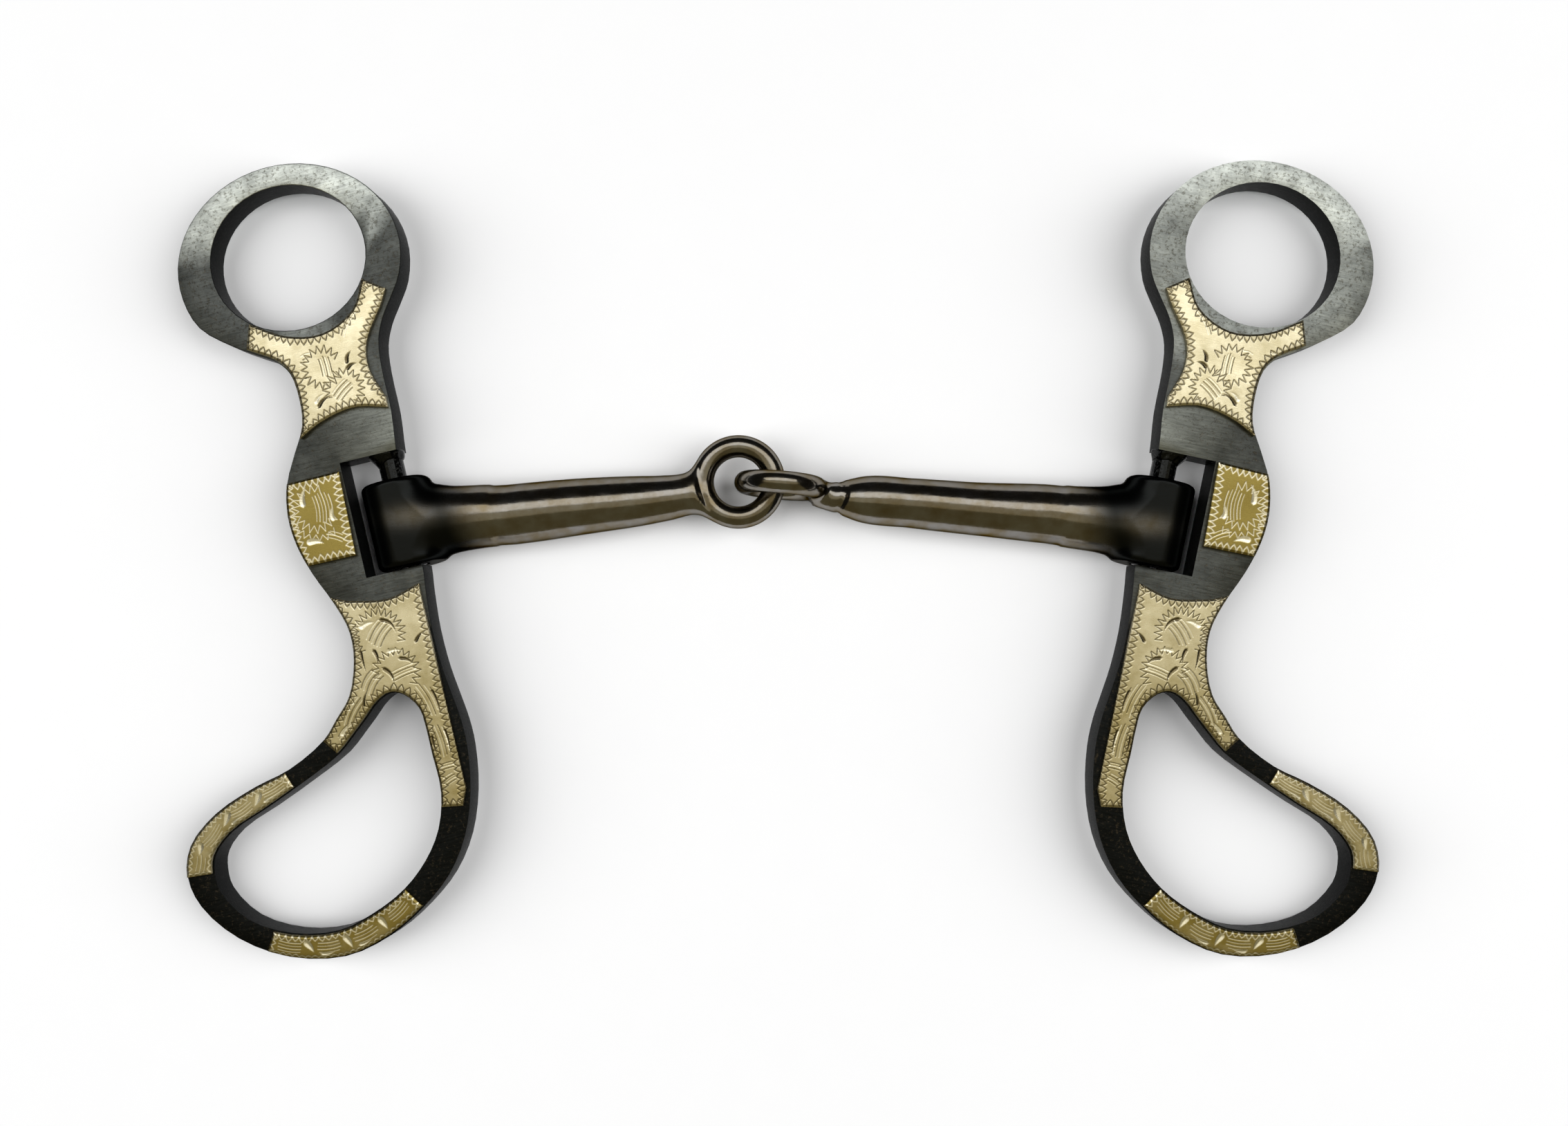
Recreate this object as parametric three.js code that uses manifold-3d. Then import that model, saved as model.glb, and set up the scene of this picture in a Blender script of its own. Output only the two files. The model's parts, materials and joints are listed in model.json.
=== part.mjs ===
// A loose-jaw curb bit: two flat cheeks that swivel and slide on hinge pins, and a jointed snaffle mouth.
// It lies flat, as on a table: X runs along the mouthpiece, Y towards the headstall rings, Z up.
// Millimetres and degrees. The origin is at the middle of the bit, on the surface it lies on.

import * as THREE from "three";
import { mergeVertices } from "three/addons/utils/BufferGeometryUtils.js";
import Module from "manifold-3d";

const wasm = await Module();
wasm.setup();

// ---- driving dimensions ----

const fitGap = 0.3; // between pieces that touch or turn in each other

// cheek plate
const plateThickness = 6.4;
const ringHoleWidth = 28.7;
const ringHoleHeight = 26.2;
const ringSideBand = 6.4;
const ringTopBand = 3.8;
const ringFootBand = 5.7;
const ringRise = 37.4; // from the top of the slot to the middle of the ring
const ringOffset = 9.1; // how far the ring's middle lies outside the hinge pin
const neckWidth = 16.3;
const webWidth = 11.5; // beside the slot
const waistWidth = 14.9;
const innerLand = 2.3; // from the hinge pin's axis to the cheek's inner edge
const shankLength = 66; // from the bottom of the slot to the lowest point of the rein loop
const loopReach = 53.1; // from the hinge pin's axis out to the rein loop's far end
const crotchDepth = 21.35; // from the bottom of the slot down to the rein loop's window
const upperArmBand = 4.2; // width of the steel along the upper side of the rein loop
const loopBand = 4.9; // width of the steel round the far end and the bottom
const shankBand = 6.6; // width of the steel down the inner side

// hinge pin and the sleeve that turns and slides on it
const pinDiameter = 4.6;
const tenonDiameter = 2.4;
const tenonLength = 4;
const sleeveDiameter = 12.4;
const sleeveLength = 15.8;
const slideTravel = 2.4;
const weldRoom = 2.2; // above the travel, for the weld round the pin's upper end
const webClearance = 2.1; // between the sleeve and the slot's outer wall

// mouthpiece
const leftCannonLength = 61.4; // from the sleeve's axis to the middle of the eye
const rightCannonLength = 68.2;
const buttDiameter = 10.6; // where the cannon leaves the sleeve's shoulder
const neckDiameter = 6.6; // where it runs into the eye
const eyeDiameter = 17;
const eyeWire = 4.3;
const eyeSpacing = 7.75; // between the middles of the two eyes, along the mouth
const eyeDrop = 1.0; // how far the flat eye hangs below the middle of the upright one
const sweepBack = 6; // how far each cannon leans from square to its hinge pin
const leftRise = 7.1; // how far each cannon rises towards the middle
const rightRise = 5.7;

// silver plates
const silverThickness = 0.8;
const silverMargin = 0.25; // between a plate's edge and the cheek's edge
const leftPlateShift = -1.4; // the left slot plate was set a little lower than the right one

// ---- sizes that follow ----

const sleeveRadius = sleeveDiameter / 2;
const slotHeight = sleeveLength + slideTravel + weldRoom + 3 * fitGap;
const slotDepth = sleeveRadius + webClearance;
const eyeMeanRadius = (eyeDiameter - eyeWire) / 2;
const halfThickness = plateThickness / 2;
const ringY = slotHeight + ringRise;
const sleeveMiddle = fitGap + sleeveLength / 2; // above the bottom of the slot
const silverSeat = halfThickness + fitGap;

// the back of the plate rests on the rein loop's far edge while the sleeve rests on its own round
const cheekTilt = Math.asin((sleeveRadius - halfThickness) / loopReach);
const uprightEyeHeight = eyeDiameter / 2;
const flatEyeHeight = uprightEyeHeight - eyeDrop;

// ---- materials ----

const steel = { color: 0x1c2223, roughness: 0.38, metalness: 0.9 };
const silver = { color: 0xd3c89e, roughness: 0.3, metalness: 1.0 };
const sweetIron = { color: 0x14110f, roughness: 0.16, metalness: 0.95 };
const brightSteel = { color: 0x777777, roughness: 0.3, metalness: 1.0 };

// ---- solids ----

function toSolid(geometry) {
  const bare = geometry.clone();
  bare.deleteAttribute("normal");
  bare.deleteAttribute("uv");
  const merged = mergeVertices(bare, 1e-4);
  return new wasm.Manifold(
    new wasm.Mesh({
      numProp: 3,
      vertProperties: new Float32Array(merged.attributes.position.array),
      triVerts: new Uint32Array(merged.index.array),
    }),
  );
}

function toGeometry(solid) {
  const mesh = solid.getMesh();
  const geometry = new THREE.BufferGeometry();
  geometry.setAttribute("position", new THREE.BufferAttribute(mesh.vertProperties, 3));
  geometry.setIndex(new THREE.BufferAttribute(mesh.triVerts, 1));
  return geometry;
}

function extrude(points, bottom, top) {
  const shape = new THREE.Shape(points);
  const geometry = new THREE.ExtrudeGeometry(shape, { depth: top - bottom, bevelEnabled: false });
  return toSolid(geometry.translate(0, 0, bottom));
}

function piece(name, solid, finish) {
  const mesh = new THREE.Mesh(toGeometry(solid), new THREE.MeshStandardMaterial(finish));
  mesh.name = name;
  return mesh;
}

// A rod turned about Y, from [radius, y] pairs that start and end on the axis.
function turned(profile, sides) {
  return new THREE.LatheGeometry(profile.map(([r, y]) => new THREE.Vector2(r, y)), sides);
}

// ---- curves that follow a list of [x, y] points ----

function curveThrough(points, closed) {
  const knots = points.map(([x, y]) => new THREE.Vector3(x, y, 0));
  return new THREE.CatmullRomCurve3(knots, closed, "centripetal");
}

// The point at a station of a closed curve, moved to the left of the way it runs.
function besideCurve(curve, station, offset) {
  const count = curve.points.length;
  const t = (((station / count) % 1) + 1) % 1;
  const at = curve.getPoint(t);
  const way = curve.getTangent(t);
  return new THREE.Vector2(at.x - way.y * offset, at.y + way.x * offset);
}

function alongCurve(curve, from, to, offset, perStation) {
  const steps = Math.max(1, Math.round(Math.abs(to - from) * perStation));
  const points = [];
  for (let i = 0; i <= steps; i += 1) {
    points.push(besideCurve(curve, from + ((to - from) * i) / steps, offset));
  }
  return points;
}

// All round a closed curve, three points to a station.
function allRound(curve) {
  return alongCurve(curve, 0, curve.points.length - 1 / 3, 0, 3);
}

function openCurve(points, steps) {
  return curveThrough(points, false)
    .getPoints(steps)
    .map((p) => new THREE.Vector2(p.x, p.y));
}

// ---- cheek outline ----
// In the cheek's own frame X points inwards to the mouth, Y runs along the hinge pin, the pin's axis is
// x = 0 and the bottom of the slot is y = 0. The outline runs counter-clockwise from the ring's inner foot.

const ringSteps = 13;
const ringFoot = -22; // the ring's free stretch, in degrees
const ringShoulder = 205;

function ringStations() {
  const halfWidth = ringHoleWidth / 2 + ringSideBand;
  const halfHeight = (ringHoleHeight + ringTopBand + ringFootBand) / 2;
  const stations = [];
  for (let i = 0; i < ringSteps; i += 1) {
    const share = i / (ringSteps - 1);
    const angle = THREE.MathUtils.degToRad(ringFoot + (ringShoulder - ringFoot) * share);
    stations.push([-ringOffset + halfWidth * Math.cos(angle), ringY + halfHeight * Math.sin(angle)]);
  }
  return stations;
}

// Places in the neck are shares of the rise from the slot to the ring, beside the slot shares of its
// height, and in the shank shares of its length and of the loop's reach.
const neckAt = (x, share) => [x, slotHeight + ringRise * share];
const slotAt = (x, share) => [x, slotHeight * share];
const waistAt = (x, share) => [x, -shankLength * share];
const loopAt = (reach, drop) => [-loopReach * reach, -shankLength * drop];

const neckInner = innerLand + 1.1;
const neckOuter = neckInner - neckWidth;
const webOuter = -slotDepth - webWidth;
const waistInner = innerLand - 1.0;
const waistOuter = waistInner - waistWidth;

const outerNeck = [
  neckAt(neckOuter - 10, 0.677),
  neckAt(neckOuter - 6.1, 0.609),
  neckAt(neckOuter - 2.5, 0.547),
  neckAt(neckOuter - 0.6, 0.477),
  neckAt(neckOuter, 0.353),
  neckAt(neckOuter - 0.6, 0.218),
  neckAt(neckOuter - 3.2, 0.092),
];

const outerWeb = [
  slotAt(webOuter + 1.2, 0.934),
  slotAt(webOuter, 0.653),
  slotAt(webOuter + 0.4, 0.394),
  slotAt(webOuter + 2.0, 0.136),
];

const outerWaist = [
  waistAt(waistOuter - 1.5, 0.052),
  waistAt(waistOuter, 0.132),
  waistAt(waistOuter - 0.3, 0.208),
  waistAt(waistOuter - 2.6, 0.303),
];

// The band is the width of the steel between the loop's outer edge and its window.
const loop = [
  { place: loopAt(0.368, 0.358), band: upperArmBand + 0.2 },
  { place: loopAt(0.428, 0.407), band: upperArmBand - 0.4 },
  { place: loopAt(0.568, 0.464), band: upperArmBand - 0.8 },
  { place: loopAt(0.698, 0.49), band: upperArmBand + 0.2 },
  { place: loopAt(0.853, 0.537), band: upperArmBand + 0.3 },
  { place: loopAt(0.961, 0.605), band: loopBand },
  { place: loopAt(1.0, 0.691), band: loopBand + 0.2 },
  { place: loopAt(0.977, 0.779), band: loopBand - 0.4 },
  { place: loopAt(0.874, 0.887), band: loopBand - 1.0 },
  { place: loopAt(0.713, 0.968), band: loopBand - 0.5 },
  { place: loopAt(0.523, 1.0), band: loopBand },
  { place: loopAt(0.357, 0.972), band: loopBand + 0.2 },
  { place: loopAt(0.223, 0.916), band: loopBand - 0.1 },
  { place: loopAt(0.11, 0.844), band: loopBand + 0.1 },
  { place: loopAt(0.028, 0.752), band: shankBand - 1.6 },
  { place: loopAt(-0.026, 0.637), band: shankBand - 1.2 },
  { place: loopAt(-0.051, 0.515), band: shankBand },
  { place: loopAt(-0.051, 0.438), band: shankBand },
  { place: loopAt(-0.041, 0.369), band: shankBand - 0.1 },
];

const innerSide = [
  waistAt(waistInner + 0.2, 0.285),
  waistAt(waistInner, 0.178),
  waistAt(innerLand - 0.5, 0.07),
  waistAt(innerLand, 0),
  slotAt(innerLand, 0.5),
  slotAt(innerLand + 0.1, 1),
  neckAt(neckInner - 0.3, 0.191),
  neckAt(neckInner - 0.2, 0.407),
  neckAt(neckInner + 0.4, 0.536),
  neckAt(neckInner + 2.0, 0.633),
  neckAt(neckInner + 4.3, 0.72),
];

const beforeLoop = [...ringStations(), ...outerNeck, ...outerWeb, ...outerWaist];
const loopStart = beforeLoop.length;
const outline = curveThrough([...beforeLoop, ...loop.map((s) => s.place), ...innerSide], true);

// The window keeps the band's width inside the outline, and its crotch closes it under the waist.
function windowCurve() {
  const stations = loop.map(({ band }, i) => {
    const at = besideCurve(outline, loopStart + i, band);
    return [at.x, at.y];
  });
  const crotch = [
    [waistInner - 7.8, -crotchDepth - 0.75],
    [waistInner - 10, -crotchDepth],
    [waistInner - 12.5, -crotchDepth - 0.95],
    [waistInner - 15.6, -crotchDepth - 3.6],
  ];
  return curveThrough([...stations, ...crotch], true);
}

const loopWindow = windowCurve();

// Mirrors an outline for the right-hand cheek.
const handed = (points, hand) => points.map((p) => new THREE.Vector2(p.x * hand, p.y));

// ---- cheek plate ----

function ringHole() {
  const halfWidth = ringHoleWidth / 2;
  const halfHeight = ringHoleHeight / 2;
  const top = ringY + (ringHoleHeight + ringTopBand + ringFootBand) / 2 - ringTopBand;
  const edge = new THREE.EllipseCurve(-ringOffset, top - halfHeight, halfWidth, halfHeight);
  return edge.getPoints(48).slice(0, -1);
}

function tenonBore(y) {
  const radius = tenonDiameter / 2 + fitGap;
  const depth = 2 * (tenonLength + fitGap);
  return toSolid(new THREE.CylinderGeometry(radius, radius, depth, 20).translate(0, y, 0));
}

function slotCutter(hand) {
  const mouth = innerLand * 3;
  const width = slotDepth + mouth;
  const box = new THREE.BoxGeometry(width, slotHeight, plateThickness * 2);
  return toSolid(box.translate((hand * (mouth - slotDepth)) / 2, slotHeight / 2, 0));
}

function cheekPlate(hand) {
  const through = [-plateThickness, plateThickness];
  return extrude(handed(allRound(outline), hand), -halfThickness, halfThickness)
    .subtract(extrude(handed(ringHole(), hand), ...through))
    .subtract(extrude(handed(allRound(loopWindow), hand), ...through))
    .subtract(slotCutter(hand))
    .subtract(tenonBore(0))
    .subtract(tenonBore(slotHeight));
}

// ---- silver plates, seated on the cheek's upper face ----

function silverPlate(points, hand) {
  return extrude(handed(points, hand), silverSeat, silverSeat + silverThickness);
}

const neckStart = ringSteps;
const waistStart = neckStart + outerNeck.length + outerWeb.length;

// Under the ring: two horns along the hole, a hollow foot, and sides drawn in to the neck.
function ringPlate() {
  const outerRim = alongCurve(outline, neckStart + 0.7, neckStart + 5.4, silverMargin + 0.1, 3);
  const foot = openCurve(
    [
      neckAt(neckOuter - 1.2, 0.155),
      neckAt(neckOuter + 3, 0.209),
      neckAt(neckInner - 6.8, 0.243),
      neckAt(neckInner - 0.6, 0.205),
    ],
    10,
  );
  const innerRim = openCurve(
    [
      neckAt(neckInner - 0.5, 0.256),
      neckAt(neckInner - 2.2, 0.388),
      neckAt(neckInner - 2.2, 0.482),
      neckAt(neckInner - 1, 0.566),
      neckAt(neckInner + 2.5, 0.695),
      neckAt(neckInner + 3.9, 0.763),
    ],
    14,
  );
  const hollow = openCurve(
    [
      [-ringOffset + 12.6, ringY - 6.2],
      [-ringOffset + 9.7, ringY - 11.2],
      [-ringOffset + 3.3, ringY - 14.1],
      [-ringOffset - 3.5, ringY - 12.9],
      [-ringOffset - 9.4, ringY - 9.2],
    ],
    16,
  );
  return [...outerRim, ...foot, ...innerRim, ...hollow];
}

// Beside the slot: square on the slot's side, round on the outer side.
function slotPlate(shift) {
  const top = slotHeight - 0.1 + shift;
  const bottom = top - 15.5;
  const slotSide = -slotDepth - silverMargin;
  const from = neckStart + outerNeck.length + (slotHeight * 0.934 - top) / (slotHeight * 0.281);
  const to = neckStart + outerNeck.length + 2 + (slotHeight * 0.394 - bottom) / (slotHeight * 0.258);
  const rim = alongCurve(outline, from, to, silverMargin, 4);
  return [...rim, new THREE.Vector2(slotSide - 0.4, bottom), new THREE.Vector2(slotSide, top)];
}

// Down the shank: a hollow top, a long leg on the inner side and a short leg along the loop's upper side.
function forkPlate() {
  const longLegEnd = loopStart + 14.6;
  const outerRim = alongCurve(outline, waistStart - 0.2, loopStart + 1, silverMargin, 3);
  const windowEnd = longLegEnd - loopStart - loopWindow.points.length;
  const windowRim = alongCurve(loopWindow, 1, windowEnd, -silverMargin, 3);
  const legFoot = besideCurve(outline, longLegEnd + 0.1, 1.0);
  const innerRim = [
    legFoot,
    new THREE.Vector2(waistInner - 0.3, legFoot.y + 3),
    new THREE.Vector2(waistInner - 0.3, -4),
  ];
  const top = openCurve([waistAt(waistInner - 0.2, 0.048), waistAt(-5.1, 0.071), waistAt(-12.3, 0.052)], 8);
  return [...outerRim, ...windowRim, ...innerRim, ...top];
}

// A strip that follows the loop between two stations.
function loopStrip(from, to) {
  const outer = alongCurve(outline, loopStart + from, loopStart + to, silverMargin, 3);
  const inner = alongCurve(loopWindow, to, from, -silverMargin, 3);
  return [...outer, ...inner];
}

function cheekPieces(side, hand, slotPlateShift) {
  return [
    piece(`${side}_cheek_plate`, cheekPlate(hand), steel),
    piece(`${side}_ring_silver`, silverPlate(ringPlate(), hand), silver),
    piece(`${side}_slot_silver`, silverPlate(slotPlate(slotPlateShift), hand), silver),
    piece(`${side}_fork_silver`, silverPlate(forkPlate(), hand), silver),
    piece(`${side}_upper_loop_silver`, silverPlate(loopStrip(2.1, 6), hand), silver),
    piece(`${side}_lower_loop_silver`, silverPlate(loopStrip(8.6, 12.05), hand), silver),
  ];
}

// ---- hinge pin: a post across the slot, with a tenon at each end ----

function hingePin() {
  const postHalf = slotHeight / 2 - fitGap;
  const tenonTip = slotHeight / 2 + tenonLength - fitGap;
  const profile = [
    [0, -tenonTip],
    [tenonDiameter / 2, -tenonTip],
    [tenonDiameter / 2, -postHalf],
    [pinDiameter / 2, -postHalf],
    [pinDiameter / 2, postHalf],
    [tenonDiameter / 2, postHalf],
    [tenonDiameter / 2, tenonTip],
    [0, tenonTip],
  ];
  return toSolid(turned(profile, 24)).translate(0, slotHeight / 2, 0);
}

// ---- cannon: sleeve, shoulder, tapered arm and eye ----
// Its own frame has the sleeve's middle at the origin and the sleeve's axis along Y.

function sleeve() {
  const edge = 0.7;
  const half = sleeveLength / 2;
  const profile = [
    [0, -half],
    [sleeveRadius - edge, -half],
    [sleeveRadius, -half + edge],
    [sleeveRadius, half - edge],
    [sleeveRadius - edge, half],
    [0, half],
  ];
  return toSolid(turned(profile, 36));
}

function sleeveBore() {
  const radius = pinDiameter / 2 + fitGap;
  return toSolid(new THREE.CylinderGeometry(radius, radius, sleeveLength * 2, 28));
}

function cannonArm(length) {
  const butt = buttDiameter / 2;
  const neck = neckDiameter / 2;
  const tip = length - eyeMeanRadius;
  const knots = [
    [butt - 0.25, 0],
    [butt - 0.25, sleeveRadius + 2],
    [butt, length * 0.26],
    [butt - 0.65, length * 0.6],
    [neck, tip - eyeWire],
    [eyeWire / 2 - 0.1, tip],
  ];
  const surface = curveThrough(knots, false).getPoints(22);
  return turned([[0, 0], ...surface.map((p) => [p.x, p.y]), [0, tip]], 24);
}

// The shoulder flares from the arm to the sleeve's full length, no thicker than the sleeve.
function shoulder() {
  const flare = sleeveLength / 2 - 0.6;
  const knots = [
    [flare, 0],
    [flare, sleeveRadius - 1],
    [flare - 0.3, sleeveRadius - 0.1],
    [buttDiameter / 2 + 0.9, sleeveRadius + 1.2],
    [buttDiameter / 2 + 0.15, sleeveRadius + 3],
    [buttDiameter / 2 - 0.2, sleeveRadius + 5],
  ];
  const surface = curveThrough(knots, false).getPoints(14);
  return turned([[0, 0], ...surface.map((p) => [p.x, p.y]), [0, sleeveRadius + 5]], 32);
}

// Side view of the sleeve and the arm's root, which trims the shoulder to the sleeve's thickness.
function shoulderTrim(hand) {
  const reach = sleeveRadius + 8;
  const half = buttDiameter / 2 + 0.1;
  const start = Math.asin(half / sleeveRadius);
  const round = new THREE.EllipseCurve(0, 0, sleeveRadius, sleeveRadius, start, Math.PI * 2 - start);
  const side = [...round.getPoints(30), new THREE.Vector2(reach, -half), new THREE.Vector2(reach, half)];
  return extrude(handed(side, hand), -sleeveLength / 2, sleeveLength / 2).rotate(90, 0, 0);
}

function eye(length, upright) {
  const ring = new THREE.TorusGeometry(eyeMeanRadius, eyeWire / 2, 14, 40);
  if (upright) {
    ring.rotateY(Math.PI / 2);
  }
  return ring.translate(0, length, 0);
}

// Turns what was made along Y to run from the sleeve to the mouth's middle, leaning back by the sweep.
function layAlongMouth(geometry, hand) {
  const lean = Math.PI / 2 + THREE.MathUtils.degToRad(sweepBack);
  return geometry.rotateZ(-hand * lean);
}

function cannon(hand, length, upright) {
  const flare = toSolid(layAlongMouth(shoulder(), hand)).intersect(shoulderTrim(hand));
  return toSolid(layAlongMouth(cannonArm(length), hand))
    .add(flare)
    .add(sleeve())
    .add(toSolid(layAlongMouth(eye(length, upright), hand)))
    .subtract(sleeveBore());
}

// ---- assembly ----

// A frame at a sleeve's middle, whose Y axis is the hinge pin's axis.
function sideFrame(hand, eyeX, eyeY, length, rise) {
  const angle = THREE.MathUtils.degToRad(rise);
  const frame = new THREE.Group();
  frame.position.set(eyeX - hand * length * Math.cos(angle), eyeY - length * Math.sin(angle), sleeveRadius);
  frame.rotation.z = hand * (angle + THREE.MathUtils.degToRad(sweepBack));
  return frame;
}

function tipped(meshes, hand, angle, y) {
  const group = new THREE.Group();
  group.add(...meshes);
  group.rotation.y = -hand * angle;
  group.position.y = y;
  return group;
}

function pitchTo(eyeHeight, length) {
  const reach = length * Math.cos(THREE.MathUtils.degToRad(sweepBack));
  return Math.asin((eyeHeight - sleeveRadius) / reach);
}

const mouthRise = THREE.MathUtils.degToRad(rightRise);
const leftSide = sideFrame(1, 0, 0, leftCannonLength, leftRise);
const rightEyeX = eyeSpacing * Math.cos(mouthRise);
const rightEyeY = -eyeSpacing * Math.sin(mouthRise);
const rightSide = sideFrame(-1, rightEyeX, rightEyeY, rightCannonLength, rightRise);

leftSide.add(
  tipped([piece("left_cannon", cannon(1, leftCannonLength, false), sweetIron)], 1,
    pitchTo(flatEyeHeight, leftCannonLength), 0),
  tipped([...cheekPieces("left", 1, leftPlateShift), piece("left_hinge_pin", hingePin(), brightSteel)], 1,
    cheekTilt, -sleeveMiddle),
);
rightSide.add(
  tipped([piece("right_cannon", cannon(-1, rightCannonLength, true), sweetIron)], -1,
    pitchTo(uprightEyeHeight, rightCannonLength), 0),
  tipped([...cheekPieces("right", -1, 0), piece("right_hinge_pin", hingePin(), brightSteel)], -1,
    cheekTilt, -sleeveMiddle),
);

const bit = new THREE.Group();
bit.add(leftSide, rightSide);
bit.updateMatrixWorld(true);

const bounds = new THREE.Box3().setFromObject(bit, true);
const middle = bounds.getCenter(new THREE.Vector3());
bit.position.set(-middle.x, -middle.y, -bounds.min.z);

export default bit;
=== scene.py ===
"""Looks for a loose-jaw curb bit: browned steel cheeks, engraved silver plates and a sweet-iron jointed mouth."""

import json
import math
import random
from types import SimpleNamespace

import bmesh
import bpy
import numpy as np
from mathutils import Matrix, Vector


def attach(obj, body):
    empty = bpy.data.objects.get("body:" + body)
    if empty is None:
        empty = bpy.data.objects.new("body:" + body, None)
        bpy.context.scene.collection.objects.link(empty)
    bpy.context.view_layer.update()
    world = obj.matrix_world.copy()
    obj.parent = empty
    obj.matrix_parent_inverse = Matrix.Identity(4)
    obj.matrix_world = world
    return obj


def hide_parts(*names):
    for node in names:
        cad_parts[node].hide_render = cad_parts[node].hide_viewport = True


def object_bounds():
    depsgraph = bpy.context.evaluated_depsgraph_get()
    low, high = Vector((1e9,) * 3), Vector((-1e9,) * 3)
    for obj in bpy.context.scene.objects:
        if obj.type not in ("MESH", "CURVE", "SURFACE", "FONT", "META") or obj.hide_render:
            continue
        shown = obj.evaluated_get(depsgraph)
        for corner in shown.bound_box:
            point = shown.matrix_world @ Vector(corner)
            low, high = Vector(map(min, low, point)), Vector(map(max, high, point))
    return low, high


bl_info = {
    "name": "Curb Bit",
    "version": (1, 0, 0),
    "blender": (4, 5, 0),
    "location": "View3D > Sidebar > Curb Bit",
    "description": "Engraved cheeks, jointed mouth, floor, lights and camera for a curb bit",
    "category": "Object",
}

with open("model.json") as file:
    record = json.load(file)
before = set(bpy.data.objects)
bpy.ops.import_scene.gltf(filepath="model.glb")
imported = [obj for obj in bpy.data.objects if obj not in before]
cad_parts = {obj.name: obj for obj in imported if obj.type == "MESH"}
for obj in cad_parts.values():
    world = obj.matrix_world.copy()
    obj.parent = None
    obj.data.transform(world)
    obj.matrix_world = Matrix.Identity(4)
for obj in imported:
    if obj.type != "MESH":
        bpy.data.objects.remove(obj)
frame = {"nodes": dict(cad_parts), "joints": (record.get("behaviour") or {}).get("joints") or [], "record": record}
CAD_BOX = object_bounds()
JOINTS = {joint["name"]: joint for joint in frame["joints"]}
MOUNTS = {mount["name"]: mount for mount in frame["record"]["mounts"]}

MM = 0.001
SIDES = ("left", "right")
SILVER_PLATES = ("ring", "slot", "fork", "upper_loop", "lower_loop")
# On these plates every cut takes the lightened fresh-cut colour: partly untarnished silver, partly a painted
# highlight.
FRESH_PLATES = ("slot", "upper_loop", "lower_loop")  # dull plates with bright cuts

# Sizes that the frame's nodes have, in millimetres, for the pieces that replace them. The eyes keep the nodes'
# outer size, but their wire is a little thinner, so that they clear each other when the mouth folds.
PLATE_HALF = 3.2
SLOT_FOOT = -8.2  # the slot's lower end, from the sleeve's middle
SLOT_HEIGHT = 21.3
SLOT_DEPTH = 8.3
SLEEVE_RADIUS = 6.2
SLEEVE_HALF = 7.9
BORE_RADIUS = 2.6
EYE_RADIUS = 6.48
EYE_WIRE = 2.02
PIN_RADIUS = 2.3

# How the cannons are forged, in millimetres unless it says otherwise.
SLEEVE_SQUARENESS = 2.5  # 2 is round, and more is squarer
SLEEVE_CORNER = 1.1
SHOULDER_SQUARENESS = 2.3
SHOULDER_END = 15
SEAM_FROM_EYE = 11.1
SEAM_DEPTH = 0.3
SEAM_WIDTH = 0.55
HAMMER_DEPTH = 0.04  # a share of the arm's radius
SLOPE_STEP = 0.02

# How the engraver works, in millimetres.
TOOTH_CLEARANCE = 2.4  # how far in from the rim the room for a tooth is felt out
TOOTH_SHARE = 0.31  # a tooth's reach, as a share of that room
TOOTH_FOOT = 0.18
STRIP_TEETH = (0.55, 1.05)  # reach of the teeth at a loop strip's lower and upper edge


# ---- working on the bench: a cheek or a cannon in its own frame, in millimetres ----


def hand_of(side):
    return 1 if side == "left" else -1


def opening_middle(name):
    """The middle of a stated opening."""
    box = next(o["box_m"] for o in frame["record"]["physics"]["openings"] if o["name"] == name)
    return (Vector(box[0]) + Vector(box[1])) / 2


def bench_from(x_axis, y_axis, z_axis, origin):
    """The matrix that takes bench millimetres to the bit's own frame in metres."""
    turn = Matrix((x_axis, y_axis, z_axis)).transposed().to_4x4()
    return Matrix.Translation(origin) @ turn @ Matrix.Scale(MM, 4)


def pin_axis(side):
    """The hinge pin's axis, pointing to the headstall ring."""
    axis = Vector(JOINTS[f"{side}_cheek_swivel"]["axis"]).normalized()
    return axis if axis.y > 0 else -axis


def lean(side):
    """The turn about Z that lays a material's X across the cheek."""
    return math.atan2(pin_axis(side).x, pin_axis(side).y)


def sleeve_middle(side):
    return Vector(JOINTS[f"{side}_cheek_swivel"]["pos_m"])


def cheek_bench(side):
    """Y runs up the hinge pin, Z out of the engraved face; the origin is the sleeve's middle."""
    along = pin_axis(side)
    face = Vector(MOUNTS[f"{side}_headstall_ring"]["axis"]).normalized()
    across = along.cross(face).normalized()
    return bench_from(across, along, across.cross(along), sleeve_middle(side))


def node_points(node):
    mesh = frame["nodes"][node].data
    flat = np.empty(len(mesh.vertices) * 3)
    mesh.vertices.foreach_get("co", flat)
    return flat.reshape(-1, 3)


def cannon_bench(side):
    """X runs down the arm to the eye, Z up; returns the bench and the arm's length to the eye's middle."""
    origin = np.array(sleeve_middle(side))
    points = node_points(f"{side}_cannon") - origin
    reach = np.linalg.norm(points, axis=1)
    arm = points[(reach > 0.35 * reach.max()) & (reach < 0.75 * reach.max())]
    along = Vector(((arm.max(0) + arm.min(0)) / 2).tolist())
    along.normalize()
    across = Vector((0, 0, 1)).cross(along).normalized()
    length = reach.max() / MM - EYE_RADIUS - EYE_WIRE
    return bench_from(along, across, along.cross(across), sleeve_middle(side)), length


def select_only(obj):
    bpy.ops.object.select_all(action="DESELECT")
    obj.select_set(True)
    bpy.context.view_layer.objects.active = obj


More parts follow.
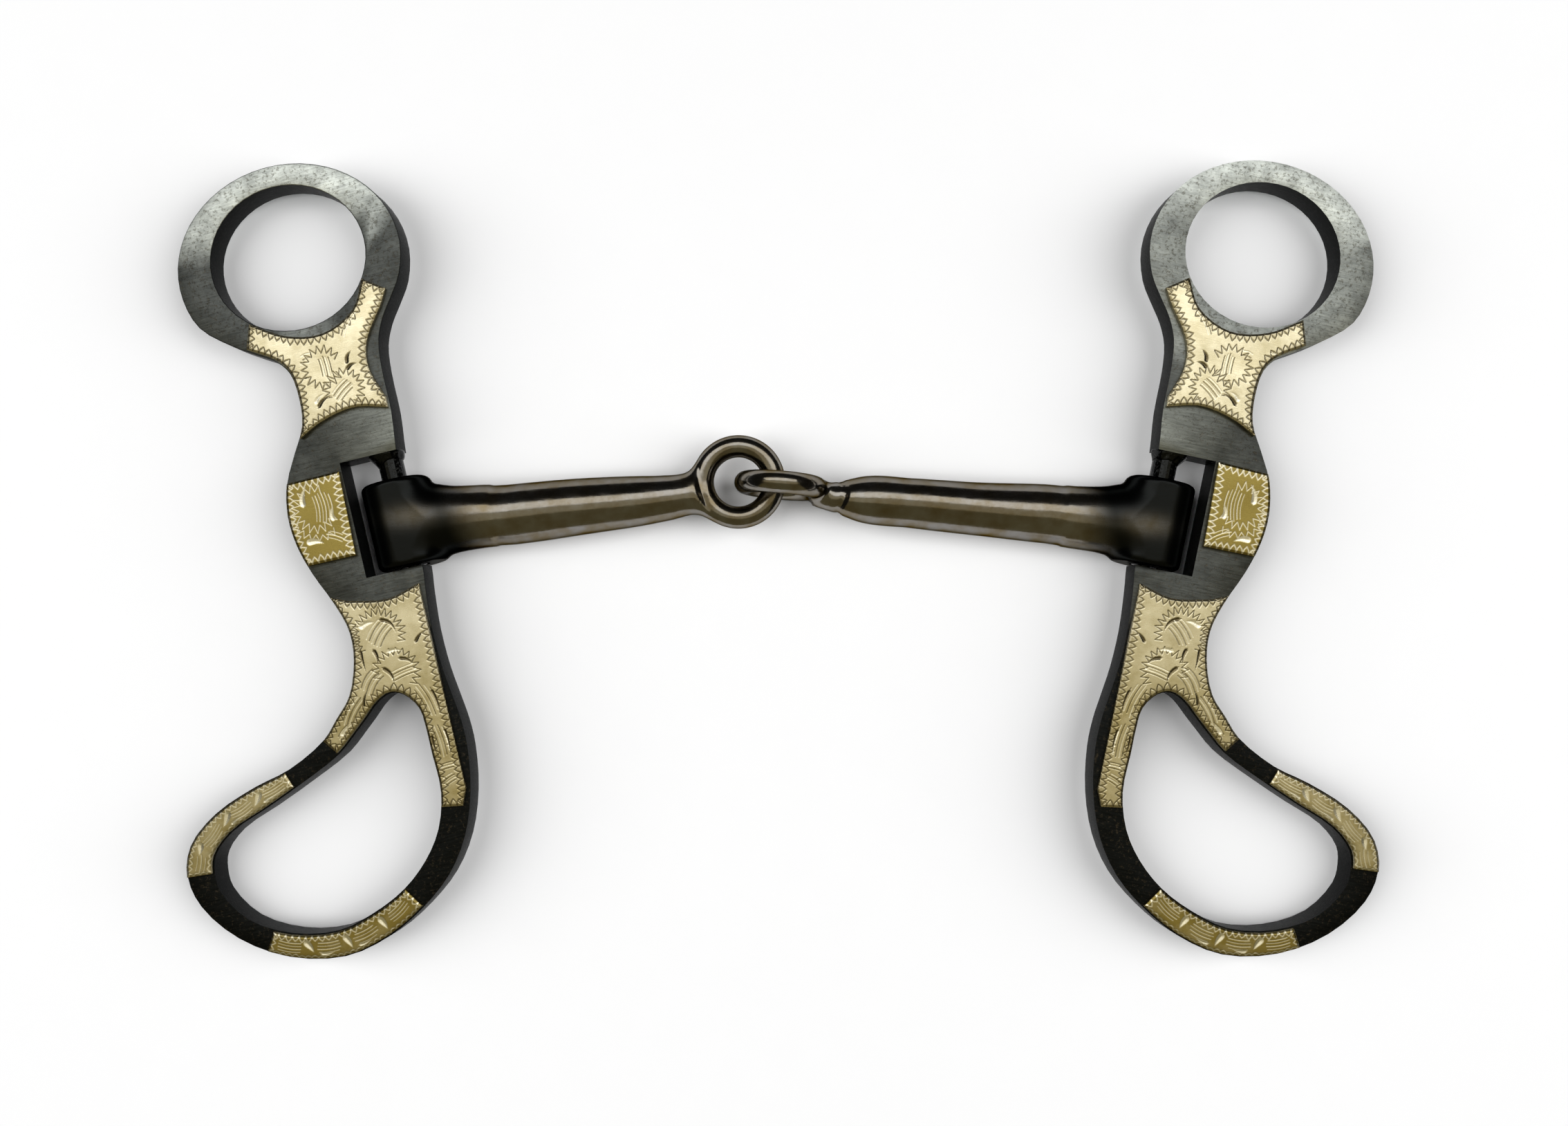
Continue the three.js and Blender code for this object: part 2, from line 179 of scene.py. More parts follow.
def bench_copy(node, name, bench):
    """A merged copy of a CAD node, laid on the bench."""
    select_only(frame["nodes"][node])
    bpy.ops.object.duplicate()
    piece = bpy.context.view_layer.objects.active
    piece.name = piece.data.name = name
    for key in [k for k in piece.keys() if k.startswith("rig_")]:
        del piece[key]
    piece.parent = None
    piece.matrix_world = Matrix.Identity(4)
    piece.data.transform(bench.inverted())
    piece.data.materials.clear()
    bpy.ops.object.mode_set(mode="EDIT")
    bpy.ops.mesh.select_all(action="SELECT")
    bpy.ops.mesh.remove_doubles(threshold=0.004)
    bpy.ops.mesh.customdata_custom_splitnormals_clear()
    bpy.ops.object.mode_set(mode="OBJECT")
    return piece


def apply_modifier(piece, kind, **settings):
    select_only(piece)
    modifier = piece.modifiers.new(kind.title(), kind)
    for key, value in settings.items():
        setattr(modifier, key, value)
    bpy.ops.object.modifier_apply(modifier=modifier.name)


def points_of(piece):
    flat = np.empty(len(piece.data.vertices) * 3)
    piece.data.vertices.foreach_get("co", flat)
    return flat.reshape(-1, 3)


def set_points(piece, points):
    piece.data.vertices.foreach_set("co", points.ravel())
    piece.data.update()


def set_mask(piece, name, values):
    """A value from 0 to 1 at each point, which a material reads by name."""
    attribute = piece.data.attributes.new(name, "FLOAT", "POINT")
    attribute.data.foreach_set("value", np.clip(values, 0, 1).astype(np.float32))


def from_bench(piece, bench, body, node, smooth_angle, materials):
    """Puts a finished piece in its place in the bit, in metres, in the stead of its CAD node."""
    piece.data.transform(bench)
    for material in materials:
        piece.data.materials.append(material)
    select_only(piece)
    bpy.ops.object.shade_smooth_by_angle(angle=math.radians(smooth_angle))
    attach(piece, body)
    if node:
        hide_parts(node)


def ease(low, high, values):
    """0 below low, 1 above high, and a smooth rise between."""
    share = np.clip((values - low) / (high - low), 0, 1)
    return share * share * (3 - 2 * share)


def bumps(points, size, seed):
    """A smooth uneven value, about -1 to 1, over points in millimetres."""
    chance = random.Random(seed)
    total = np.zeros(len(points))
    for _ in range(7):
        way = np.array([chance.gauss(0, 1) for _ in range(3)]) / size
        total += np.sin(points @ way + chance.uniform(0, math.tau))
    return total / 3


# ---- material parts ----


def new_group(name, inputs, outputs):
    group = bpy.data.node_groups.new(name, "ShaderNodeTree")
    for socket, kind, default in inputs:
        made = group.interface.new_socket(socket, in_out="INPUT", socket_type=kind)
        if default is not None:
            made.default_value = default
    for socket, kind in outputs:
        group.interface.new_socket(socket, in_out="OUTPUT", socket_type=kind)
    return group, group.nodes.new("NodeGroupInput"), group.nodes.new("NodeGroupOutput")


def add(tree, kind, **settings):
    """A shader node with its settings; a key that names an input sets that socket's value."""
    node = tree.nodes.new(kind)
    for key, value in settings.items():
        if hasattr(node, key):
            setattr(node, key, value)
        else:
            node.inputs[key.replace("_", " ")].default_value = value
    return node


def grain_group():
    """Fine grinding marks that run along X of the vector they are given, with a cloudy strength."""
    group, taken, given = new_group(
        "grinding marks",
        [
            ("Vector", "NodeSocketVector", None),
            ("Fineness", "NodeSocketFloat", 9.0),
            ("Stretch", "NodeSocketFloat", 0.06),
        ],
        [("Marks", "NodeSocketFloat"), ("Clouds", "NodeSocketFloat")],
    )
    scale = add(group, "ShaderNodeCombineXYZ", Y=1.0, Z=1.0)
    group.links.new(taken.outputs["Stretch"], scale.inputs["X"])
    stretched = add(group, "ShaderNodeVectorMath", operation="MULTIPLY")
    group.links.new(taken.outputs["Vector"], stretched.inputs[0])
    group.links.new(scale.outputs[0], stretched.inputs[1])
    marks = add(group, "ShaderNodeTexNoise", Detail=4.0, Roughness=0.7)
    group.links.new(stretched.outputs[0], marks.inputs["Vector"])
    group.links.new(taken.outputs["Fineness"], marks.inputs["Scale"])
    clouds = add(group, "ShaderNodeTexNoise", Scale=0.28, Detail=5.0, Roughness=0.6)
    group.links.new(taken.outputs["Vector"], clouds.inputs["Vector"])
    group.links.new(marks.outputs["Fac"], given.inputs["Marks"])
    group.links.new(clouds.outputs["Fac"], given.inputs["Clouds"])
    return group


def pitting_group():
    """Small pits and scale specks in old steel."""
    group, taken, given = new_group(
        "pits",
        [("Vector", "NodeSocketVector", None), ("Size", "NodeSocketFloat", 2.5)],
        [("Height", "NodeSocketFloat")],
    )
    noise = add(group, "ShaderNodeTexNoise", Detail=6.0, Roughness=0.75)
    ramp = add(group, "ShaderNodeMapRange", interpolation_type="SMOOTHSTEP", From_Min=0.3, From_Max=0.48)
    group.links.new(taken.outputs["Vector"], noise.inputs["Vector"])
    group.links.new(taken.outputs["Size"], noise.inputs["Scale"])
    group.links.new(noise.outputs["Fac"], ramp.inputs["Value"])
    group.links.new(ramp.outputs["Result"], given.inputs["Height"])
    return group


GROUPS = {}


def group_node(tree, maker, **settings):
    if maker.__name__ not in GROUPS:
        GROUPS[maker.__name__] = maker()
    node = tree.nodes.new("ShaderNodeGroup")
    node.node_tree = GROUPS[maker.__name__]
    for key, value in settings.items():
        node.inputs[key].default_value = value
    return node


def millimetres(tree, turn=0.0):
    """Object coordinates in millimetres, turned about Z."""
    place = tree.nodes.new("ShaderNodeTexCoord")
    mapping = tree.nodes.new("ShaderNodeMapping")
    mapping.inputs["Rotation"].default_value = (0, 0, turn)
    mapping.inputs["Scale"].default_value = (1 / MM, 1 / MM, 1 / MM)
    tree.links.new(place.outputs["Object"], mapping.inputs["Vector"])
    return mapping.outputs["Vector"]


def masked(tree, name):
    return add(tree, "ShaderNodeAttribute", attribute_name=name).outputs["Fac"]


def mix_colours(tree, factor, low, high):
    """A colour between low and high; either may be a socket."""
    node = add(tree, "ShaderNodeMix", data_type="RGBA")
    for socket, value in ((node.inputs["Factor"], factor), (node.inputs[6], low), (node.inputs[7], high)):
        if isinstance(value, bpy.types.NodeSocket):
            tree.links.new(value, socket)
        else:
            socket.default_value = value if isinstance(value, float) else (*value, 1.0)[:4]
    return node.outputs[2]


def remap(tree, value, from_low, from_high, to_low, to_high):
    node = add(tree, "ShaderNodeMapRange")
    for socket, number in zip(node.inputs[1:5], (from_low, from_high, to_low, to_high)):
        socket.default_value = number
    tree.links.new(value, node.inputs["Value"])
    return node.outputs["Result"]


def multiply(tree, first, second):
    node = add(tree, "ShaderNodeMath", operation="MULTIPLY")
    for socket, value in zip(node.inputs, (first, second)):
        if isinstance(value, bpy.types.NodeSocket):
            tree.links.new(value, socket)
        else:
            socket.default_value = value
    return node.outputs[0]


def bump(tree, height, strength, distance, before=None):
    node = add(tree, "ShaderNodeBump", Strength=strength, Distance=distance)
    tree.links.new(height, node.inputs["Height"])
    if before is not None:
        tree.links.new(before, node.inputs["Normal"])
    return node.outputs["Normal"]


def new_material(name, **shader):
    material = bpy.data.materials.new(name)
    material.use_nodes = True
    tree = material.node_tree
    principled = tree.nodes["Principled BSDF"]
    for key, value in shader.items():
        principled.inputs[key.replace("_", " ")].default_value = value
    return material, tree, principled


# ---- materials ----


def browned_steel(side, colours):
    """Near-black browning on walls and loop, the walls and rounded edges made darker still and nearly unreflecting
    as painted shade; the face is worn through to grey, and ground bright by the welds.
    """
    material, tree, shader = new_material(f"browned_steel_{side}", Specular_IOR_Level=0.03)
    place = millimetres(tree, lean(side))
    grain = group_node(tree, grain_group, Fineness=3.4, Stretch=0.06)
    tree.links.new(place, grain.inputs["Vector"])
    pits = group_node(tree, pitting_group, Size=1.6)
    tree.links.new(place, pits.inputs["Vector"])
    clouds = remap(tree, grain.outputs["Clouds"], 0.35, 0.68, 0.55, 1.0)
    # On the cheeks this mask is wear alone: the face worn through to grey.
    wear = multiply(tree, masked(tree, "wear_and_painted_glow"), clouds)
    wear_and_painted_glow = mix_colours(tree, wear, colours.steel_dark, colours.steel_grey)
    stain = remap(tree, pits.outputs["Height"], 0, 1, 0.35, 0.0)
    tinted = mix_colours(tree, stain, wear_and_painted_glow, colours.steel_warm)
    ground = mix_colours(tree, masked(tree, "ground"), tinted, colours.steel_bright)
    streaks = remap(tree, grain.outputs["Marks"], 0.3, 0.75, 0.55, 1.45)
    streaked = add(tree, "ShaderNodeMix", data_type="RGBA", blend_type="MULTIPLY")
    streaked.inputs["Factor"].default_value = 1.0
    tree.links.new(ground, streaked.inputs[6])
    tree.links.new(streaks, streaked.inputs[7])
    # Painted shade: the walls and rounded edges, found by their slope, take a darker colour with no metal and
    # almost no specular.
    front = masked(tree, "front")
    final = mix_colours(tree, front, colours.wall_oxide_and_painted_shade, streaked.outputs[2])
    tree.links.new(final, shader.inputs["Base Color"])
    tree.links.new(front, shader.inputs["Metallic"])
    roughness = remap(tree, grain.outputs["Marks"], 0.3, 0.7, 0.3, 0.44)
    tree.links.new(roughness, shader.inputs["Roughness"])
    normal = bump(tree, grain.outputs["Marks"], 0.25, 0.00004)
    tree.links.new(bump(tree, pits.outputs["Height"], 0.35, 0.00005, normal), shader.inputs["Normal"])
    return material


def engraved_silver(side, colours):
    """Nickel silver with brush lines; tarnish stays in the older cuts and towards the plate's edges, and the
    bright cuts take a lighter fresh-cut colour that is partly a painted highlight.
    """
    material, tree, shader = new_material(f"engraved_silver_{side}", Metallic=1.0)
    place = millimetres(tree, lean(side))
    grain = group_node(tree, grain_group, Fineness=7.0, Stretch=0.08)
    tree.links.new(place, grain.inputs["Vector"])
    clouded = remap(tree, grain.outputs["Clouds"], 0.4, 0.66, 0.0, 0.35)
    cloudy = add(tree, "ShaderNodeMath", operation="ADD", use_clamp=True)
    tree.links.new(clouded, cloudy.inputs[0])
    tree.links.new(masked(tree, "dull"), cloudy.inputs[1])
    ground = mix_colours(tree, cloudy.outputs[0], colours.silver, colours.silver_warm)
    edged = mix_colours(tree, multiply(tree, masked(tree, "rim"), 0.3), ground, colours.tarnish)
    # Painted highlight: the bright cuts are lightened past the polished silver to stand in for their flash of the
    # window, on top of their fresh, untarnished colour.
    fresh_cut_and_painted_glint = mix_colours(tree, masked(tree, "fresh_cut_and_painted_glint"), edged, colours.fresh_silver_and_painted_glint)
    cut = mix_colours(tree, multiply(tree, masked(tree, "cut"), 0.85), fresh_cut_and_painted_glint, colours.tarnish)
    tree.links.new(cut, shader.inputs["Base Color"])
    roughness = remap(tree, grain.outputs["Marks"], 0.3, 0.7, 0.24, 0.36)
    tree.links.new(roughness, shader.inputs["Roughness"])
    tree.links.new(bump(tree, grain.outputs["Marks"], 0.18, 0.00003), shader.inputs["Normal"])
    return material


def forged_iron(colours):
    """Smooth forged iron, polished along the arms by use and still black at the sleeves, with a painted highlight
    where each arm runs into its sleeve.
    """
    material, tree, shader = new_material("forged_iron", Metallic=1.0, Specular_Tint=(0.2, 0.19, 0.17, 1.0))
    place = millimetres(tree)
    grain = group_node(tree, grain_group, Fineness=1.1, Stretch=0.25)
    tree.links.new(place, grain.inputs["Vector"])
    clouds = remap(tree, grain.outputs["Clouds"], 0.35, 0.7, 0.0, 1.0)
    arm = mix_colours(tree, clouds, colours.iron, colours.iron_olive)
    # The black at the sleeves has a painted highlight at the arm's root taken out of it.
    colour = mix_colours(tree, masked(tree, "oxide_and_painted_glow"), arm, colours.iron_black)
    tree.links.new(colour, shader.inputs["Base Color"])
    rough = add(tree, "ShaderNodeMix", data_type="FLOAT", B=0.3)
    tree.links.new(masked(tree, "oxide_and_painted_glow"), rough.inputs["Factor"])
    tree.links.new(remap(tree, grain.outputs["Marks"], 0.3, 0.7, 0.1, 0.22), rough.inputs[2])
    tree.links.new(rough.outputs[0], shader.inputs["Roughness"])
    tree.links.new(bump(tree, grain.outputs["Marks"], 0.12, 0.0001), shader.inputs["Normal"])
    return material


def post_steel(colours):
    """The hinge pins and the weld round their ends: black, with glossy drips."""
    material, tree, shader = new_material("post_steel", Specular_IOR_Level=0.6)
    place = millimetres(tree)
    pits = group_node(tree, pitting_group, Size=2.2)
    tree.links.new(place, pits.inputs["Vector"])
    colour = mix_colours(tree, pits.outputs["Height"], colours.wall_oxide_and_painted_shade, colours.iron_black)
    tree.links.new(colour, shader.inputs["Base Color"])
    tree.links.new(remap(tree, pits.outputs["Height"], 0, 1, 0.0, 0.9), shader.inputs["Metallic"])
    tree.links.new(remap(tree, pits.outputs["Height"], 0, 1, 0.35, 0.12), shader.inputs["Roughness"])
    tree.links.new(bump(tree, pits.outputs["Height"], 0.3, 0.0001), shader.inputs["Normal"])
    return material


# ---- cheek plates ----


def cheek_body(side, sizes, material):
    """The cheek with its edges broken: round at the ring, softer down the waist, nearly sharp at the loop."""
    bench = cheek_bench(side)
    piece = bench_copy(f"{side}_cheek_plate", f"{side}_cheek", bench)
    select_only(piece)
    bpy.ops.object.mode_set(mode="EDIT")
    bpy.ops.mesh.select_all(action="SELECT")
    bpy.ops.mesh.dissolve_limited(angle_limit=math.radians(0.6))
    bpy.ops.object.mode_set(mode="OBJECT")
    weigh_edges(piece, hand_of(side), sizes)
    apply_modifier(
        piece, "BEVEL", width=sizes.ring_rounding, segments=4, limit_method="WEIGHT",
        offset_type="OFFSET", use_clamp_overlap=True, loop_slide=True,
    )
    apply_modifier(piece, "TRIANGULATE", min_vertices=5)
    paint_cheek(piece, side)
    from_bench(piece, bench, f"{side}_cheek", f"{side}_cheek_plate", 40, [material])


def weigh_edges(piece, hand, sizes):
    """Sets how round each rim edge is, as a share of the ring's rounding."""
    mesh = bmesh.new()
    mesh.from_mesh(piece.data)
    layer = mesh.edges.layers.float.new("bevel_weight_edge")
    for edge in mesh.edges:
        if len(edge.link_faces) != 2:
            continue
        flat = [abs(face.normal.z) > 0.9 for face in edge.link_faces]
        if flat[0] == flat[1]:
            continue
        middle = (edge.verts[0].co + edge.verts[1].co) / 2
        edge[layer] = edge_share(middle, hand, sizes)
    mesh.to_mesh(piece.data)
    mesh.free()


def edge_share(middle, hand, sizes):
    """How round the rim is at a place: full at the ring, least at the slot and the rein loop."""
    height = middle.y - SLOT_FOOT
    small = sizes.loop_rounding / sizes.ring_rounding
    ring = float(ease(SLOT_HEIGHT + 8, SLOT_HEIGHT + 22, np.array(height)))
    waist = float(ease(-34, -12, np.array(height)))
    inner = float(ease(-4.0, 0.0, np.array(hand * middle.x)))
    in_slot = 0 < height < SLOT_HEIGHT and -SLOT_DEPTH - 0.1 < hand * middle.x < 1.5
    if in_slot:
        return small
    return max(ring, small + (0.75 - small) * waist * inner, small)


def paint_cheek(piece, side):
    """Where the face is worn through, and where it was ground bright beside the welds; also which parts are walls
    and rounded edges, for the painted shade.
    """
    points = points_of(piece)
    flattest = np.ones(len(points))
    for face in piece.data.polygons:
        corners = list(face.vertices)
        flattest[corners] = np.minimum(flattest[corners], abs(face.normal.z))
    # Painted shade: the walls and rounded edges are told from the flat face by their slope.
    set_mask(piece, "front", ease(0.3, 0.85, flattest))
    height = points[:, 1] - SLOT_FOOT
    inward = hand_of(side) * points[:, 0]
    above = ease(SLOT_HEIGHT - 1, SLOT_HEIGHT + 0.5, height)
    below_silver = 1 - ease(SLOT_HEIGHT + 6, SLOT_HEIGHT + 10, height)
    set_mask(piece, "ground", 0.8 * (above * below_silver) * ease(-6.2, -5.4, inward))
    crown = ease(SLOT_HEIGHT + 39, SLOT_HEIGHT + 47.5, height)
    ring = (0.035 if side == "left" else 0.45) * ease(SLOT_HEIGHT + 12, SLOT_HEIGHT + 20, height)
    hole = cheek_bench(side).inverted() @ opening_middle(f"{side}_ring_hole")
    under_hole = ease(7.5, 5.5, np.abs(points[:, 0] - hole.x)) * ease(-12, -13, points[:, 1] - hole.y)
    crown = np.maximum(crown, 0.4 * under_hole * ease(-20, -18, points[:, 1] - hole.y))
    waist = 0.13 * ease(-12, -8, height)
    set_mask(piece, "wear_and_painted_glow", np.maximum(np.maximum(ring, waist), crown))


def weld_bead(side, sizes, material):
    """The weld round the hinge pin's upper end: a lumpy fillet that runs down the post's outer side."""
    bench = cheek_bench(side)
    bpy.ops.object.select_all(action="DESELECT")
    bpy.ops.mesh.primitive_torus_add(
        major_segments=96, minor_segments=40, major_radius=3.0, minor_radius=1.0, rotation=(math.pi / 2, 0, 0)
    )
    piece = bpy.context.view_layer.objects.active
    piece.name = piece.data.name = f"{side}_weld"
    bpy.ops.object.transform_apply(location=True, rotation=True, scale=True)
    points = points_of(piece)
    radial = points * (1, 0, 1)
    away = np.linalg.norm(radial, axis=1)
    radial /= away[:, None]
    outer = ease(-0.2, 0.9, -hand_of(side) * radial[:, 0])
    lumps = bumps(points * (1, 0.6, 1), 0.8, 11 if side == "left" else 17)
    fall = (1 - points[:, 1]) / 2
    run = sizes.weld_run * (0.75 + 0.25 * outer + 0.1 * bumps(radial, 0.5, 5))
    width = (0.5 + 1.5 * outer) * (1 - fall) ** 1.7 + 0.22 + 0.12 * lumps
    distance = PIN_RADIUS - 0.2 + (away - 2) / 2 * (width + 0.2)
    points = radial * distance[:, None]
    points[:, 1] = SLOT_FOOT + SLOT_HEIGHT + 0.25 - fall * (run + 0.25)
    points[:, 2] = np.clip(points[:, 2], -PLATE_HALF + 0.1, PLATE_HALF - 0.1)
    set_points(piece, points)
    from_bench(piece, bench, f"{side}_cheek", None, 60, [material])


# ---- engraving ----
# A cut is a list of [x, y] points with a width and a depth, on the bench in millimetres.


def cut(points, width=0.24, depth=0.07, **marks):
    return {"points": [tuple(p) for p in points], "width": width, "depth": depth, **marks}


def rosette(centre, radius, reach, start, end, teeth, chance):
    """Teeth that stand out round an arc, drawn as one wavering line."""
    points = []
    for i in range(2 * teeth + 1):
        angle = math.radians(start + (end - start) * i / (2 * teeth))
        away = radius + (reach if i % 2 else 0) + chance.uniform(-0.12, 0.12)
        points.append((centre[0] + away * math.cos(angle), centre[1] + away * math.sin(angle)))
    return [cut(points, 0.22)]


def bowed(start, end, shift, bow, trim, steps):
    """Points along a line from start to end, moved sideways and bowed."""
    run = Vector(end) - Vector(start)
    side = Vector((-run.y, run.x)).normalized()
    shares = [trim + (1 - 2 * trim) * i / steps for i in range(steps + 1)]
    return [Vector(start) + run * t + side * (shift + bow * math.sin(math.pi * t)) for t in shares]


def shading(start, end, spread, lines, bow, chance):
    """Bowed lines side by side, as an engraver shades a leaf; every other one is cut to flash."""
    strokes = []
    for i in range(lines):
        place = i / max(1, lines - 1)
        trim = 0.1 * abs(2 * place - 1) + chance.uniform(0, 0.08)
        line = bowed(start, end, spread * (place - 0.5), bow, trim, 6)
        width, depth = (0.26, 0.03) if i % 2 else (0.2, 0.06)
        strokes.append(cut(line, width, depth, bright=bool(i % 2)))
    return strokes


def leaf(start, end, width=0.85, bow=0.35):
    """One broad dark cut that starts blunt and runs out to a point."""
    return [cut(bowed(start, end, 0, bow, 0, 8), width, 0.16, pointed=True)]


def flash(start, end, width=1.0, bow=0.1):
    """One broad shallow cut that throws the light back."""
    return [cut(bowed(start, end, 0, bow, 0, 8), width, 0.09 * width, pointed=True, bright=True)]


def border(outline, sizes, chance, plate):
    """A zigzag walked round the plate's edge; on the loops' strips it is small along the lower edge."""
    wider = 1.25 if plate in FRESH_PLATES else 1.0
    loop = np.array(outline)
    closed = np.vstack([loop, loop[:1]])
    step = np.linalg.norm(np.diff(closed, axis=0), axis=1)
    along = np.concatenate([[0], np.cumsum(step)])
    teeth = max(8, round(along[-1] / sizes.border_pitch))
    marks = np.linspace(0, along[-1], 2 * teeth, endpoint=False)

    def at(place):
        return np.array([np.interp(place % along[-1], along, closed[:, k]) for k in (0, 1)])

    corners = []
    for i, mark in enumerate(marks):
        tangent = at(mark + 0.7) - at(mark - 0.7)
        tangent /= max(np.linalg.norm(tangent), 1e-6)
        inward = np.array([-tangent[1], tangent[0]])
        beyond = rim_distance((at(mark) + inward * TOOTH_CLEARANCE)[None], outline)[0]
        deep = min(sizes.border_width, TOOTH_SHARE * (TOOTH_CLEARANCE + beyond))
        if "loop" in plate:
            deep = STRIP_TEETH[0] if inward[1] > 0 else STRIP_TEETH[1]
        reach = TOOTH_FOOT if i % 2 else deep + chance.uniform(-0.16, 0.1)
        corners.append(at(mark) + inward * reach + tangent * chance.uniform(-0.08, 0.08))
    points = []
    for a, b in zip(corners, [*corners[1:], corners[0]]):
        bow = np.array([a[1] - b[1], b[0] - a[0]]) * 0.09
        points += [a, (a + b) / 2 + bow]
    return [cut([*points, points[0]], sizes.stroke_width * wider, sizes.stroke_depth)]


def top_outline(piece):
    """The plate's upper rim as a counter-clockwise loop of [x, y] points."""
    mesh = bmesh.new()
    mesh.from_mesh(piece.data)
    rim = [e for e in mesh.edges if sum(f.normal.z > 0.9 for f in e.link_faces) == 1]
    rim = [e for e in rim if len(e.link_faces) == 2]
    joined = {}
    for edge in rim:
        for a, b in (edge.verts, reversed(edge.verts)):
            joined.setdefault(a, []).append(b)
    start = here = rim[0].verts[0]
    before, loop = None, []
    while True:
        loop.append((here.co.x, here.co.y))
        onward = [v for v in joined[here] if v is not before]
        before, here = here, onward[0]
        if here is start:
            break
    mesh.free()
    area = sum(a[0] * b[1] - b[0] * a[1] for a, b in zip(loop, loop[1:] + loop[:1]))
    return loop if area > 0 else loop[::-1]


def engrave(points, top, cuts):
    """How deep the dark cuts and the bright ones, all V-shaped, sink the points on the plate's top."""
    dark, bright = np.zeros(len(points)), np.zeros(len(points))
    order = np.argsort(points[:, 0])
    xs = points[order, 0]
    for stroke in cuts:
        line = stroke["points"]
        depth = bright if stroke.get("bright") else dark
        for i, (a, b) in enumerate(zip(line, line[1:])):
            middle = (i + 0.5) / (len(line) - 1)
            wedge = min(1, 5 * middle) * (1 - middle) ** 0.7 * 1.2
            taper = wedge if stroke.get("pointed") else 1.0
            half = stroke["width"] / 2 * taper + 0.02
            sink(depth, points, order, xs, a, b, half, stroke["depth"] * taper)
    return dark * top, bright * top


def sink(depth, points, order, xs, a, b, half, deepest):
    """Deepens the points near one straight stretch of a cut; xs are the points' x in order."""
    first = np.searchsorted(xs, min(a[0], b[0]) - half)
    last = np.searchsorted(xs, max(a[0], b[0]) + half)
    near = order[first:last]
    if not len(near):
        return
    run = np.array([b[0] - a[0], b[1] - a[1]])
    offset = points[near, :2] - np.array([a[0], a[1]])
    share = np.clip(offset @ run / max(run @ run, 1e-9), 0, 1)
    away = np.linalg.norm(offset - share[:, None] * run, axis=1)
    depth[near] = np.maximum(depth[near], deepest * np.clip(1 - away / half, 0, 1))


def motifs(plate, hand, chance):
    """The engraver's figures for a plate; x is measured inwards from the hinge pin, y from the slot's foot."""
    figures = {
        "ring": ring_figures, "slot": slot_figures, "fork": fork_figures,
        "upper_loop": upper_figures, "lower_loop": lower_figures,
    }[plate](chance)
    for figure in figures:
        figure["points"] = [(hand * x, y + SLOT_FOOT) for x, y in figure["points"]]
    return figures


def ring_figures(chance):
    return [
        *rosette((-7.2, 38.6), 2.7, 1.3, 20, 330, 15, chance),
        *rosette((-4.2, 33.9), 2.6, 1.3, -60, 200, 13, chance),
        *shading((-6.7, 40.7), (-6.6, 36.6), 1.8, 5, 0.1, chance),
        *shading((-6.2, 32.4), (-2.6, 35.0), 2.1, 6, 0.2, chance),
        *shading((-10.8, 40.9), (-8.4, 41.2), 0.8, 2, 0.3, chance),
        *leaf((-2.6, 38.3), (-1.4, 40.3)),
        *leaf((-2.9, 37.2), (-0.9, 37.9)),
        *leaf((-9.6, 31.6), (-6.6, 33.3), 0.8, 0.5),
        *flash((-9.8, 32.6), (-8.0, 33.9), 0.8, 0.3),
        *shading((-20.5, 43.2), (-13.0, 42.0), 0.5, 2, -0.3, chance),
        *shading((1.6, 47.6), (-2.6, 42.3), 0.6, 2, -0.6, chance),
        *rosette((3.0, 51.2), 0.5, 0.8, 0, 350, 9, chance),
    ]


def slot_figures(chance):
    return [
        *rosette((-14.2, 14.2), 3.0, 1.4, 60, 330, 14, chance),
        *rosette((-14.0, 14.0), 4.6, 1.1, 180, 300, 8, chance),
        *shading((-13.0, 17.2), (-13.2, 11.0), 3.0, 6, 0.5, chance),
        *flash((-16.3, 15.0), (-15.2, 18.3), 1.2, 0.4),
        *flash((-11.4, 11.4), (-11.3, 13.7), 1.0, 0.2),
        *flash((-17.0, 8.5), (-14.2, 7.8), 1.3, 0.3),
        *shading((-13.4, 9.3), (-10.2, 7.6), 1.2, 3, 0.2, chance),
    ]


